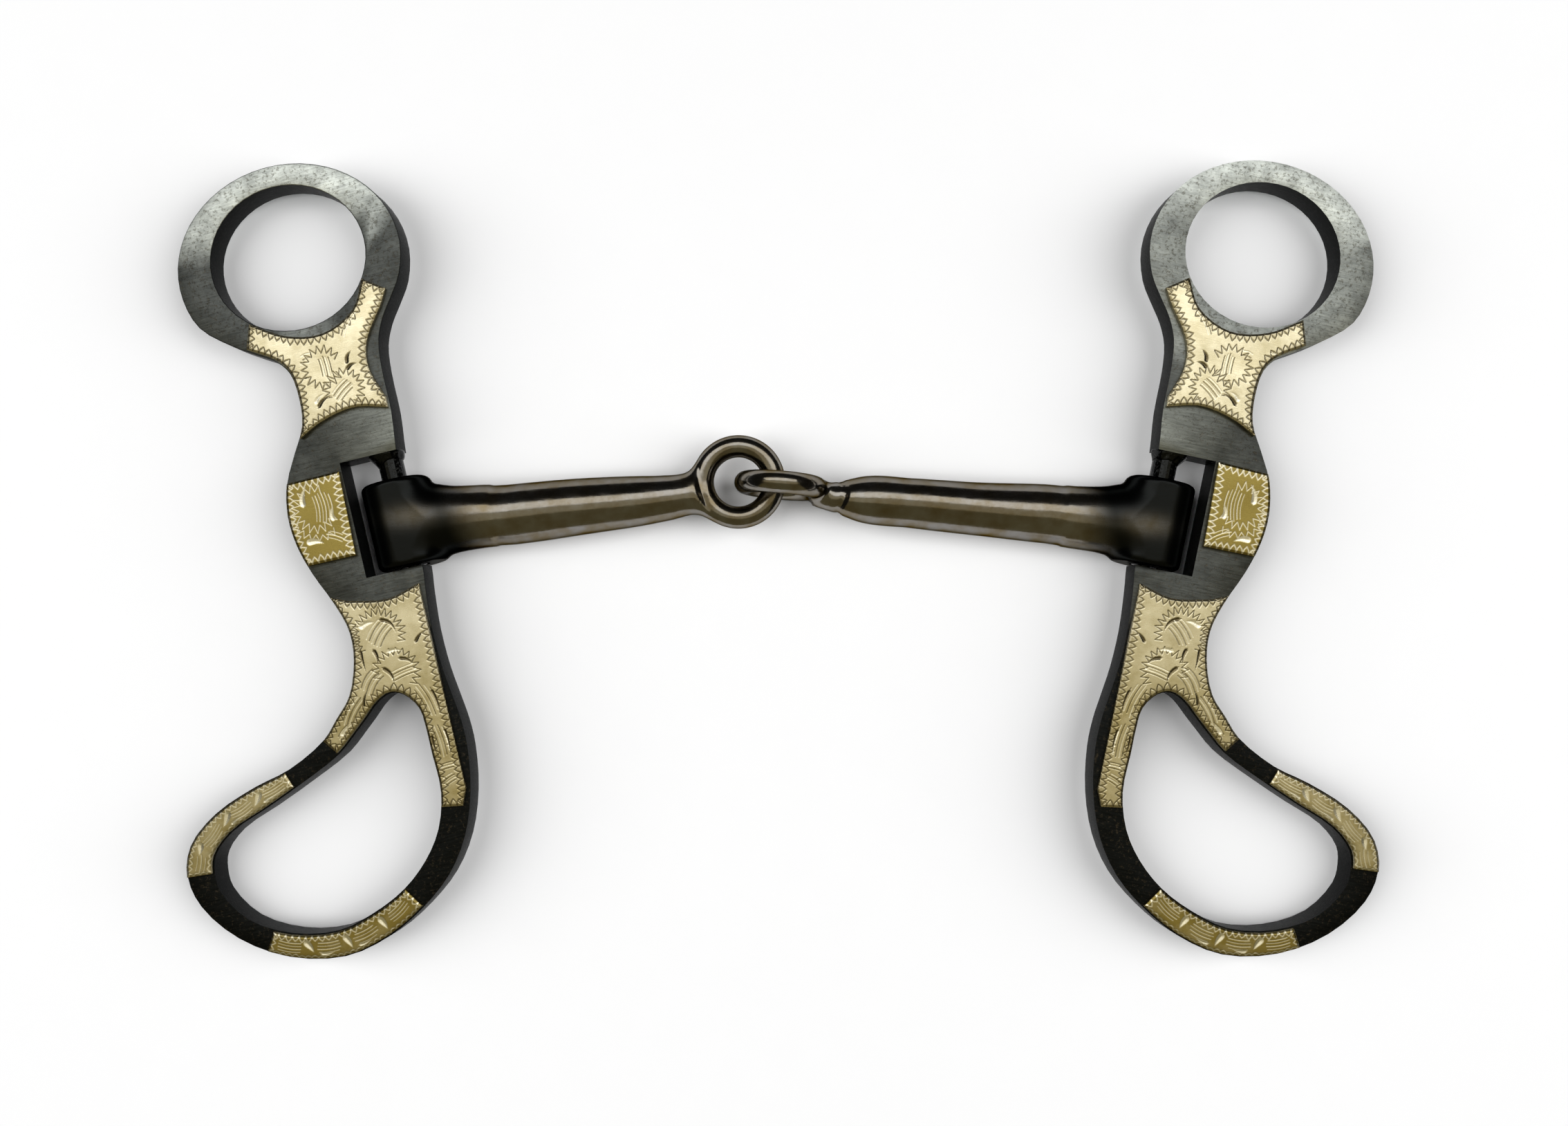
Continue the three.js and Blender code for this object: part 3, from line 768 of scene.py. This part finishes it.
def fork_figures(chance):
    return [
        *rosette((-8.2, -10.7), 3.6, 1.4, -30, 215, 17, chance),
        *rosette((-6.6, -17.9), 3.2, 1.3, -50, 190, 14, chance),
        *shading((-9.8, -12.4), (-6.0, -8.6), 2.9, 6, 0.4, chance),
        *leaf((-7.6, -8.0), (-5.0, -10.8), 0.9, 0.7),
        *flash((-11.2, -8.6), (-8.6, -8.2), 1.2, 0.3),
        *leaf((-12.1, -12.4), (-12.0, -16.6), 0.6, -0.1),
        *leaf((-9.8, -13.0), (-9.6, -16.0), 0.8, 0.3),
        *leaf((-2.0, -13.5), (0.0, -11.8), 0.7, 0.2),
        *leaf((-8.9, -16.6), (-7.4, -19.9), 0.9, 0.5),
        *flash((-7.4, -14.0), (-4.6, -14.4), 0.9, 0.3),
        *shading((-13.0, -20.8), (-9.2, -16.9), 2.4, 5, 0.6, chance),
        *shading((-8.0, -18.8), (-2.6, -17.8), 1.6, 4, 0.2, chance),
        *leaf((-5.6, -15.6), (-3.2, -17.2), 0.8, 0.4),
        *shading((-3.6, -20.6), (-1.6, -27.4), 2.0, 4, 0.4, chance),
        *shading((-1.9, -28.2), (-1.3, -35.2), 1.8, 4, 0.3, chance),
        *leaf((-1.2, -22.0), (-0.5, -27.6), 0.6, 0.3),
        *leaf((-0.5, -29.4), (-0.5, -35.0), 0.6, 0.3),
        *leaf((-2.9, -30.2), (-2.6, -34.6), 0.5, -0.2),
        *shading((-3.0, -36.6), (0.2, -36.4), 1.0, 3, 0.1, chance),
        *shading((-2.8, -39.4), (-0.2, -38.4), 1.4, 4, 0.1, chance),
        *shading((-17.8, -25.6), (-13.8, -20.8), 1.9, 5, 0.4, chance),
        *shading((-19.6, -27.6), (-16.6, -25.2), 1.0, 3, 0.2, chance),
        *flash((-19.0, -26.8), (-17.4, -25.4), 0.9),
        *leaf((-13.9, -22.8), (-12.6, -20.0), 0.6, 0.2),
    ]


def upper_figures(chance):
    return [
        *shading((-31.0, -32.7), (-36.0, -34.3), 1.5, 4, 0.2, chance),
        *shading((-37.8, -34.9), (-42.4, -36.6), 1.6, 4, 0.3, chance),
        *shading((-44.4, -37.5), (-48.4, -40.8), 1.6, 4, 0.3, chance),
        *shading((-49.2, -42.0), (-50.5, -45.4), 1.5, 3, 0.2, chance),
        *flash((-36.2, -33.6), (-37.5, -35.6), 1.3),
        *flash((-42.6, -35.8), (-44.0, -38.0), 1.3),
        *flash((-48.9, -40.2), (-49.6, -42.0), 1.2),
        *leaf((-35.8, -35.4), (-33.2, -34.6), 0.6, 0.2),
        *leaf((-42.6, -38.0), (-39.8, -36.9), 0.6, 0.2),
    ]


def lower_figures(chance):
    return [
        *shading((-39.6, -60.8), (-34.6, -62.7), 1.6, 4, -0.3, chance),
        *shading((-32.6, -63.1), (-27.4, -63.5), 1.7, 4, -0.3, chance),
        *shading((-25.4, -63.3), (-20.4, -62.0), 1.8, 4, -0.3, chance),
        *shading((-18.4, -61.1), (-14.0, -58.4), 1.7, 4, -0.3, chance),
        *flash((-34.1, -61.8), (-33.0, -63.8), 1.3),
        *flash((-26.8, -62.4), (-25.8, -64.5), 1.3),
        *flash((-19.8, -60.6), (-18.8, -62.6), 1.3),
        *leaf((-31.8, -64.4), (-29.2, -64.6), 0.6, -0.2),
        *leaf((-24.6, -64.4), (-22.0, -63.8), 0.6, -0.2),
    ]


def silver_plate(side, plate, sizes, material):
    """A silver plate: remade as a fine skin, its rim softened, then engraved, and let down onto the steel."""
    bench = cheek_bench(side)
    hand = hand_of(side)
    piece = bench_copy(f"{side}_{plate}_silver", f"{side}_{plate}_plate", bench)
    outline = top_outline(piece)
    chance = random.Random(f"{side} {plate}")
    cuts = [*border(outline, sizes, chance, plate), *motifs(plate, hand, chance)]
    pitch = sizes.engraving_pitch * 1.0
    apply_modifier(piece, "REMESH", mode="VOXEL", voxel_size=pitch, adaptivity=0.0)
    points = points_of(piece)
    top = points[:, 2].max()
    foot = points[:, 2].min()
    upper = ease(top - 0.2, top - 0.06, points[:, 2])
    rim = rim_distance(points, outline)
    dark, bright = engrave(points, upper, cuts)
    fresh = plate in FRESH_PLATES
    crown = sizes.rim_softening * (1 - ease(0.0, 0.45, rim)) * upper
    points[:, 2] -= np.maximum(dark * (0.4 if fresh else 1.0), bright) + crown
    points[:, 2] += upper * sizes.silver_waviness * bumps(points, 2.6, len(plate))
    points[:, 2] -= (1 - ease(foot + 0.1, foot + 0.5, points[:, 2])) * (foot - PLATE_HALF)
    set_points(piece, points)
    tone = dark / sizes.stroke_depth
    set_mask(piece, "cut", tone * (0.1 if fresh else 1.0) * (bright < 0.01))
    # Painted highlight: the bright cuts, and every cut on the fresh plates, are marked for the lightened fresh-cut
    # colour.
    set_mask(piece, "fresh_cut_and_painted_glint", np.maximum(bright / 0.03, tone * (1.0 if fresh else 0.0)))
    set_mask(piece, "dull", dullness(plate, points))
    set_mask(piece, "rim", 1 - ease(0.0, 1.6, rim))
    thin_underside(piece)
    from_bench(piece, bench, f"{side}_cheek", f"{side}_{plate}_silver", 50, [material])


def dullness(plate, points):
    """How far a plate has tarnished: the fork's legs more than its top."""
    if plate == "fork":
        return 0.4 * ease(-18, -36, points[:, 1])
    return np.full(len(points), {"ring": 0.0, "slot": 1.0, "upper_loop": 0.45, "lower_loop": 0.85}[plate])


def rim_distance(points, outline):
    """How far each point is from the plate's rim."""
    loop = np.array(outline)
    distance = np.full(len(points), 9.0)
    for a, b in zip(loop, np.roll(loop, -1, axis=0)):
        run = b - a
        offset = points[:, :2] - a
        share = np.clip(offset @ run / max(run @ run, 1e-9), 0, 1)
        distance = np.minimum(distance, np.hypot(*(offset - share[:, None] * run).T))
    return distance


def thin_underside(piece):
    """The hidden underside needs no fine skin."""
    select_only(piece)
    mesh = bmesh.new()
    mesh.from_mesh(piece.data)
    under = [f for f in mesh.faces if f.normal.z < -0.98]
    bmesh.ops.dissolve_faces(mesh, faces=under, use_verts=False)
    mesh.to_mesh(piece.data)
    mesh.free()


# ---- cannons ----


def blend_union(first, second, reach):
    """A rounded union of two distances."""
    mix = np.clip(0.5 + 0.5 * (second - first) / reach, 0, 1)
    return second * (1 - mix) + first * mix - reach * mix * (1 - mix)


def round_profile(along, knots):
    """A smooth radius along the arm through [place, radius] knots."""
    places, radii = np.array(knots).T
    slopes = np.gradient(radii, places)
    i = np.clip(np.searchsorted(places, along) - 1, 0, len(places) - 2)
    width = places[i + 1] - places[i]
    t = np.clip((along - places[i]) / width, 0, 1)
    h00, h10 = 2 * t**3 - 3 * t**2 + 1, t**3 - 2 * t**2 + t
    h01, h11 = -2 * t**3 + 3 * t**2, t**3 - t**2
    return h00 * radii[i] + h10 * width * slopes[i] + h01 * radii[i + 1] + h11 * width * slopes[i + 1]


class CannonShape:
    """The forged shape of one cannon as a distance: sleeve, shoulder, arm and eye, run into each other."""

    def __init__(self, side, bench, length):
        self.length = length
        far = np.array([bench.inverted() @ Vector(p) for p in node_points(f"{side}_cannon")])
        far = far[far[:, 0] > length - 1.0]
        self.middle = np.array([length, *((far.max(0) + far.min(0)) / 2)[1:]])
        self.upright = side == "right"
        turn = bench.to_3x3().normalized()
        self.pin = np.array(turn.inverted() @ pin_axis(side))
        self.across = np.cross([0, 0, 1], self.pin)
        tip = length - EYE_RADIUS
        if self.upright:
            arm = [(0.26, 5.45), (0.5, 4.95), (0.645, 4.6), (0.79, 4.1), (0.84, 3.05)]
        else:
            arm = [(0.26, 5.5), (0.44, 5.5), (0.6, 5.1), (0.75, 4.35), (0.825, 3.75)]
        arm = [(share * length, radius) for share, radius in arm]
        self.knots = [(-2, 5.2), (8.2, 5.2), *arm, (tip, EYE_WIRE), (tip + 2, EYE_WIRE - 0.4)]

    def sleeve(self, p):
        y = p @ self.pin
        flat = p - np.outer(y, self.pin)
        sideways = flat @ self.across
        power = SLEEVE_SQUARENESS
        radius = (np.abs(sideways) ** power + np.abs(flat[:, 2]) ** power) ** (1 / power)
        edge = SLEEVE_CORNER
        q = np.stack([radius - (SLEEVE_RADIUS - edge), np.abs(y) - (SLEEVE_HALF - edge)])
        return np.hypot(*np.maximum(q, 0)) + np.minimum(q.max(0), 0) - edge

    def arm(self, p):
        radius = np.hypot(p[:, 1], p[:, 2])
        body = radius - round_profile(p[:, 0], self.knots)
        if self.upright:
            seam = self.length - SEAM_FROM_EYE + 0.5 * np.sin(np.arctan2(p[:, 2], p[:, 1]) * 2 + 1)
            body += SEAM_DEPTH * np.exp(-(((p[:, 0] - seam) / SEAM_WIDTH) ** 2))
        else:
            body = np.maximum(body, EYE_RADIUS - EYE_WIRE - np.hypot(*(p - self.middle)[:, :2].T))
        ends = np.maximum(p[:, 0] - (self.length - EYE_RADIUS + 0.5), -p[:, 0])
        return np.maximum(body, ends)

    def shoulder(self, p):
        along = p[:, 0]
        wide = round_profile(along, [(-1, 7.4), (3.5, 7.3), (6.5, 6.6), (9.5, 5.6), (13, 4.9), (16, 4.3)])
        high = round_profile(along, [(-1, 6.0), (5, 5.7), (9, 5.0), (13, 4.6), (16, 4.0)])
        power = SHOULDER_SQUARENESS
        shape = (np.abs(p[:, 1] / wide) ** power + np.abs(p[:, 2] / high) ** power) ** (1 / power) - 1
        return np.maximum(shape * np.minimum(wide, high), np.maximum(along - SHOULDER_END, -along))

    def eye(self, p):
        local = p - self.middle
        flat = np.hypot(local[:, 0], local[:, 2] if self.upright else local[:, 1])
        side = local[:, 1] if self.upright else local[:, 2]
        return np.hypot(flat - EYE_RADIUS, side) - EYE_WIRE

    def distance(self, p):
        """Below 0 inside the cannon; the sleeve's end keeps to the node's length and thickness."""
        y = p @ self.pin
        body = blend_union(self.arm(p), self.shoulder(p), 2.5)
        body = blend_union(body, self.sleeve(p), 1.3)
        body = np.maximum(body, np.abs(y) - SLEEVE_HALF - 4 * ease(7, 12, p[:, 0]))
        body = np.maximum(body, np.abs(p[:, 2]) - SLEEVE_RADIUS + 0.1 - 4 * ease(14, 20, p[:, 0]))
        outside = np.hypot(*(p - self.middle)[:, :2].T) - EYE_RADIUS
        web = 1.4 if self.upright else 1.2 + 3.2 * ease(0.2, 1.6, outside)
        body = blend_union(body, self.eye(p), web)
        radius = np.linalg.norm(p - np.outer(y, self.pin), axis=1)
        return np.maximum(body, BORE_RADIUS - radius)

    def settle(self, p, rounds):
        """Moves points onto the shape along its slope."""
        for _ in range(rounds):
            here = self.distance(p)
            steps = np.eye(3) * SLOPE_STEP
            slope = np.stack([self.distance(p + step) - here for step in steps], axis=1) / SLOPE_STEP
            size = np.maximum((slope**2).sum(1), 0.05)
            p = p - np.clip(here / size, -0.6, 0.6)[:, None] * slope
        return p


def cannon(side, sizes, material):
    """One half of the mouth, remade with a fine even skin that is settled onto the forged shape."""
    bench, length = cannon_bench(side)
    piece = bench_copy(f"{side}_cannon", f"{side}_mouth", bench)
    pitch = sizes.forging_pitch * 1.0
    apply_modifier(piece, "REMESH", mode="VOXEL", voxel_size=pitch, adaptivity=0.0)
    shape = CannonShape(side, bench, length)
    for _ in range(3):
        set_points(piece, shape.settle(points_of(piece), 3))
        apply_modifier(piece, "SMOOTH", factor=0.5, iterations=2)
    points = shape.settle(points_of(piece), 4)
    arm = ease(14, 20, points[:, 0]) * (1 - ease(length - 16, length - 10, points[:, 0]))
    points[:, 1:] *= 1 + (HAMMER_DEPTH * arm * bumps(points, sizes.hammer_pitch, 3))[:, None]
    set_points(piece, points)
    # Painted highlight: a soft light patch where the arm runs into the sleeve is cut out of the black. It stands
    # in for the window's reflection in that saddle.
    wear_and_painted_glow = 0.42 * np.exp(-(((points[:, 0] - 2.5) / 4.5) ** 2) - ((points[:, 1] - 0.8) / 1.8) ** 2)
    set_mask(piece, "oxide_and_painted_glow", (1 - ease(7.5, 16.0, points[:, 0] + 0.3 * points[:, 1])) - wear_and_painted_glow)
    from_bench(piece, bench, f"{side}_mouth", f"{side}_cannon", 60, [material])


# ---- floor, lights and camera ----


def floor(stage):
    bpy.ops.object.select_all(action="DESELECT")
    bpy.ops.mesh.primitive_plane_add(size=stage.floor_size, location=(0, 0, CAD_BOX[0].z))
    plane = bpy.context.view_layer.objects.active
    plane.name = "floor"
    material, tree, shader = new_material("floor_paper", Roughness=0.9)
    noise = add(tree, "ShaderNodeTexNoise", Scale=300.0, Detail=3.0)
    darker = tuple(c * 0.985 for c in stage.floor_colour)
    shade = mix_colours(tree, noise.outputs["Fac"], darker, stage.floor_colour)
    tree.links.new(shade, shader.inputs["Base Color"])
    plane.data.materials.append(material)


def softbox(name, place, size, radiance, colour, lit):
    """An area light of size [width, height] that faces the bit and lights only the objects in a collection."""
    light = bpy.data.lights.new(name, "AREA")
    light.shape = "RECTANGLE"
    light.size, light.size_y = size
    light.energy = radiance * math.pi * size[0] * size[1]
    light.color = colour
    lamp = bpy.data.objects.new(name, light)
    lamp.location = place
    lamp.rotation_euler = (-Vector(place)).to_track_quat("-Z", "Y").to_euler()
    lamp.visible_camera = False
    bpy.context.scene.collection.objects.link(lamp)
    lamp.light_linking.receiver_collection = lit


def surroundings(stage):
    """A dim room that looks pale to the camera, lights for the metal alone, and two for the floor."""
    world = bpy.data.worlds.new("studio")
    world.use_nodes = True
    nodes, links = world.node_tree.nodes, world.node_tree.links
    nodes["Background"].inputs["Color"].default_value = (*stage.room_colour, 1)
    seen, level = nodes.new("ShaderNodeLightPath"), nodes.new("ShaderNodeMix")
    level.inputs["A"].default_value = stage.room_strength
    level.inputs["B"].default_value = stage.backdrop
    links.new(seen.outputs["Is Camera Ray"], level.inputs["Factor"])
    links.new(level.outputs["Result"], nodes["Background"].inputs["Strength"])
    bpy.context.scene.world = world
    metal, paper = (bpy.data.collections.new(f"lit_{name}") for name in ("metal", "paper"))
    for thing in [o for o in bpy.context.scene.objects if o.type == "MESH"]:
        (paper if thing.name == "floor" else metal).objects.link(thing)
    softbox("window", (0, 0.46, 1.2), (2.0, 0.6), stage.window, (1.0, 0.985, 0.94), metal)
    softbox("warm_wall", (0, -1.0, 0.75), (2.6, 1.9), stage.warm_wall, (1.0, 0.86, 0.42), metal)
    softbox("overhead", (0, -0.12, 1.3), (2.4, 0.56), 0.2 * stage.overhead, (1.0, 0.9, 0.62), metal)
    softbox("overhead_flats", (0, -0.12, 1.31), (2.4, 0.56), 0.8 * stage.overhead, (1.0, 0.9, 0.62), metal)
    for side, x in (("left", -1.0), ("right", 1.0)):
        softbox(f"paper_light_{side}", (x, 0, 1.0), (0.9, 1.8), stage.paper_light, (1, 1, 1), paper)


def camera(stage):
    data = bpy.data.cameras.new("camera")
    data.sensor_width = 36
    data.lens = stage.lens
    data.shift_y = stage.shift
    data.clip_start = 0.01
    data.clip_end = 10
    seen = bpy.data.objects.new("camera", data)
    seen.location = stage.camera_place
    seen.rotation_euler = (0, 0, 0)
    bpy.context.scene.collection.objects.link(seen)
    bpy.context.scene.camera = seen
    bpy.context.scene.view_settings.view_transform = "Standard"


# ---- properties ----


def level_property(name, description, default, **limits):
    return bpy.props.FloatProperty(name=name, description=description, default=default, **limits)


def length_property(name, description, default):
    """A length whose default is given in millimetres."""
    return bpy.props.FloatProperty(
        name=name, description=description, default=default * MM, min=0.0, precision=5, unit="LENGTH"
    )


def colour_property(name, description, default):
    return bpy.props.FloatVectorProperty(
        name=name, description=description, default=default, size=3, subtype="COLOR", min=0.0, max=1.0
    )


class BitSizes(bpy.types.PropertyGroup):
    """Sizes of the finish."""

    ring_rounding: length_property("Ring rounding", "Rounding of the ring's edges", 1.25)
    loop_rounding: length_property("Loop rounding", "Rounding of the rein loop's edges", 0.3)
    weld_run: length_property("Weld run", "How far the weld runs down the post", 2.1)
    border_pitch: length_property("Border pitch", "Length of one zigzag of the border", 1.2)
    border_width: length_property("Border width", "How far the border's teeth reach in", 1.65)
    stroke_width: length_property("Stroke width", "Width of an engraved line", 0.27)
    stroke_depth: length_property("Stroke depth", "Depth of an engraved line", 0.07)
    engraving_pitch: length_property("Engraving pitch", "Mesh pitch of the silver plates", 0.085)
    forging_pitch: length_property("Forging pitch", "Mesh pitch of the mouthpiece", 0.3)
    hammer_pitch: length_property("Hammer pitch", "Size of the arms' slight unevenness", 6.0)
    silver_waviness: length_property("Silver waviness", "How uneven the silver's surface is", 0.03)
    rim_softening: length_property("Rim softening", "How far a plate's rim is rubbed down", 0.18)


class BitColours(bpy.types.PropertyGroup):
    """Colours of the metals."""

    # Partly the browning of the walls, partly painted shade: it is darker than the unworn face.
    wall_oxide_and_painted_shade: colour_property("Steel wall", "Oxide on the cheek's walls", (0.004, 0.005, 0.005))
    steel_dark: colour_property("Steel dark", "Face where the oxide is whole", (0.012, 0.0135, 0.0145))
    steel_grey: colour_property("Steel grey", "Face where it is rubbed through", (0.70, 0.75, 0.73))
    steel_warm: colour_property("Steel warm", "Brown stain on the face", (0.16, 0.125, 0.08))
    steel_bright: colour_property("Steel bright", "Ground beside the welds", (0.26, 0.28, 0.27))
    silver: colour_property("Silver", "Polished silver", (0.80, 0.74, 0.54))
    silver_warm: colour_property("Silver, dull", "Silver that has begun to tarnish", (0.33, 0.26, 0.075))
    # Partly the colour of fresh-cut silver, partly a painted highlight: it is lighter than the polished silver.
    fresh_silver_and_painted_glint: colour_property("Silver, cut", "Freshly cut silver", (0.92, 0.88, 0.72))
    tarnish: colour_property("Tarnish", "In the cuts and along the rims", (0.08, 0.055, 0.02))
    iron: colour_property("Iron", "Iron polished by use", (0.24, 0.23, 0.215))
    iron_olive: colour_property("Iron, olive", "Olive cast on the iron", (0.17, 0.14, 0.09))
    iron_black: colour_property("Iron, black", "Oxide at the sleeves", (0.012, 0.013, 0.013))


class BitStage(bpy.types.PropertyGroup):
    """Floor, light and camera."""

    floor_size: level_property("Floor size", "Side of the floor", 2.4, unit="LENGTH")
    floor_colour: colour_property("Floor", "Colour of the floor", (0.9, 0.9, 0.9))
    room_colour: colour_property("Room", "Colour of the room's light", (0.75, 0.75, 0.7))
    room_strength: level_property("Room strength", "Brightness of the room", 0.03)
    backdrop: level_property("Backdrop", "How pale the room looks", 1.25)
    window: level_property("Window", "Brightness of the high window", 1.95)
    warm_wall: level_property("Warm wall", "Brightness of the wall in front", 0.2)
    overhead: level_property("Overhead", "Brightness right above", 0.6)
    paper_light: level_property("Paper light", "Brightness over the floor", 3.95)
    lens: level_property("Lens", "Focal length in millimetres", 38.73)
    shift: level_property("Shift", "Upward shift of the camera", 0.0582)
    camera_place: bpy.props.FloatVectorProperty(
        name="Camera place", description="Where the camera is", default=(0.000873, -0.017, 0.3144),
        size=3, subtype="XYZ", unit="LENGTH",
    )


# ---- operators ----


def in_millimetres(sizes):
    """The sizes set in the panel, in millimetres for the bench."""
    names = BitSizes.__annotations__
    return SimpleNamespace(**{name: round(getattr(sizes, name) / MM, 5) for name in names})


def shared(name, maker, *values):
    """A material, made once."""
    return bpy.data.materials.get(name) or maker(*values)


class CURBBIT_OT_cheeks(bpy.types.Operator):
    """Make both cheeks with their broken edges and the welds at the hinge pins"""

    bl_idname = "curb_bit.cheeks"
    bl_label = "Cheeks"

    def execute(self, context):
        sizes, colours = in_millimetres(context.scene.bit_sizes), context.scene.bit_colours
        for side in SIDES:
            cheek_body(side, sizes, shared(f"browned_steel_{side}", browned_steel, side, colours))
            weld_bead(side, sizes, shared("post_steel", post_steel, colours))
        return {"FINISHED"}


class CURBBIT_OT_silver(bpy.types.Operator):
    """Make and engrave the silver plates"""

    bl_idname = "curb_bit.silver"
    bl_label = "Silver plates"

    def execute(self, context):
        sizes, colours = in_millimetres(context.scene.bit_sizes), context.scene.bit_colours
        for side in SIDES:
            material = shared(f"engraved_silver_{side}", engraved_silver, side, colours)
            for plate in SILVER_PLATES:
                silver_plate(side, plate, sizes, material)
        return {"FINISHED"}


class CURBBIT_OT_mouth(bpy.types.Operator):
    """Make the two cannons"""

    bl_idname = "curb_bit.mouth"
    bl_label = "Mouthpiece"

    def execute(self, context):
        sizes = in_millimetres(context.scene.bit_sizes)
        material = shared("forged_iron", forged_iron, context.scene.bit_colours)
        for side in SIDES:
            cannon(side, sizes, material)
        return {"FINISHED"}


class CURBBIT_OT_pins(bpy.types.Operator):
    """Give the hinge pins their finish"""

    bl_idname = "curb_bit.pins"
    bl_label = "Hinge pins"

    def execute(self, context):
        material = shared("post_steel", post_steel, context.scene.bit_colours)
        for side in SIDES:
            pin = frame["nodes"][f"{side}_hinge_pin"]
            pin.data.materials.clear()
            pin.data.materials.append(material)
        return {"FINISHED"}


class CURBBIT_OT_stage(bpy.types.Operator):
    """Make the floor, the lights and the camera"""

    bl_idname = "curb_bit.stage"
    bl_label = "Stage"

    def execute(self, context):
        stage = context.scene.bit_stage
        floor(stage)
        surroundings(stage)
        camera(stage)
        return {"FINISHED"}


class CURBBIT_PT_panel(bpy.types.Panel):
    """Builds the curb bit piece by piece"""

    bl_label = "Curb Bit"
    bl_idname = "CURBBIT_PT_panel"
    bl_space_type = "VIEW_3D"
    bl_region_type = "UI"
    bl_category = "Curb Bit"

    def draw(self, context):
        for operator in OPERATORS:
            self.layout.operator(operator.bl_idname)


OPERATORS = (CURBBIT_OT_cheeks, CURBBIT_OT_silver, CURBBIT_OT_mouth, CURBBIT_OT_pins, CURBBIT_OT_stage)
CLASSES = (BitSizes, BitColours, BitStage, *OPERATORS, CURBBIT_PT_panel)


def register():
    for each in CLASSES:
        bpy.utils.register_class(each)
    bpy.types.Scene.bit_sizes = bpy.props.PointerProperty(type=BitSizes)
    bpy.types.Scene.bit_colours = bpy.props.PointerProperty(type=BitColours)
    bpy.types.Scene.bit_stage = bpy.props.PointerProperty(type=BitStage)


def unregister():
    del bpy.types.Scene.bit_stage
    del bpy.types.Scene.bit_colours
    del bpy.types.Scene.bit_sizes
    for each in reversed(CLASSES):
        bpy.utils.unregister_class(each)


def main():
    register()
    bpy.ops.curb_bit.cheeks()
    bpy.ops.curb_bit.silver()
    bpy.ops.curb_bit.mouth()
    bpy.ops.curb_bit.pins()
    bpy.ops.curb_bit.stage()


if __name__ == "__main__":
    main()
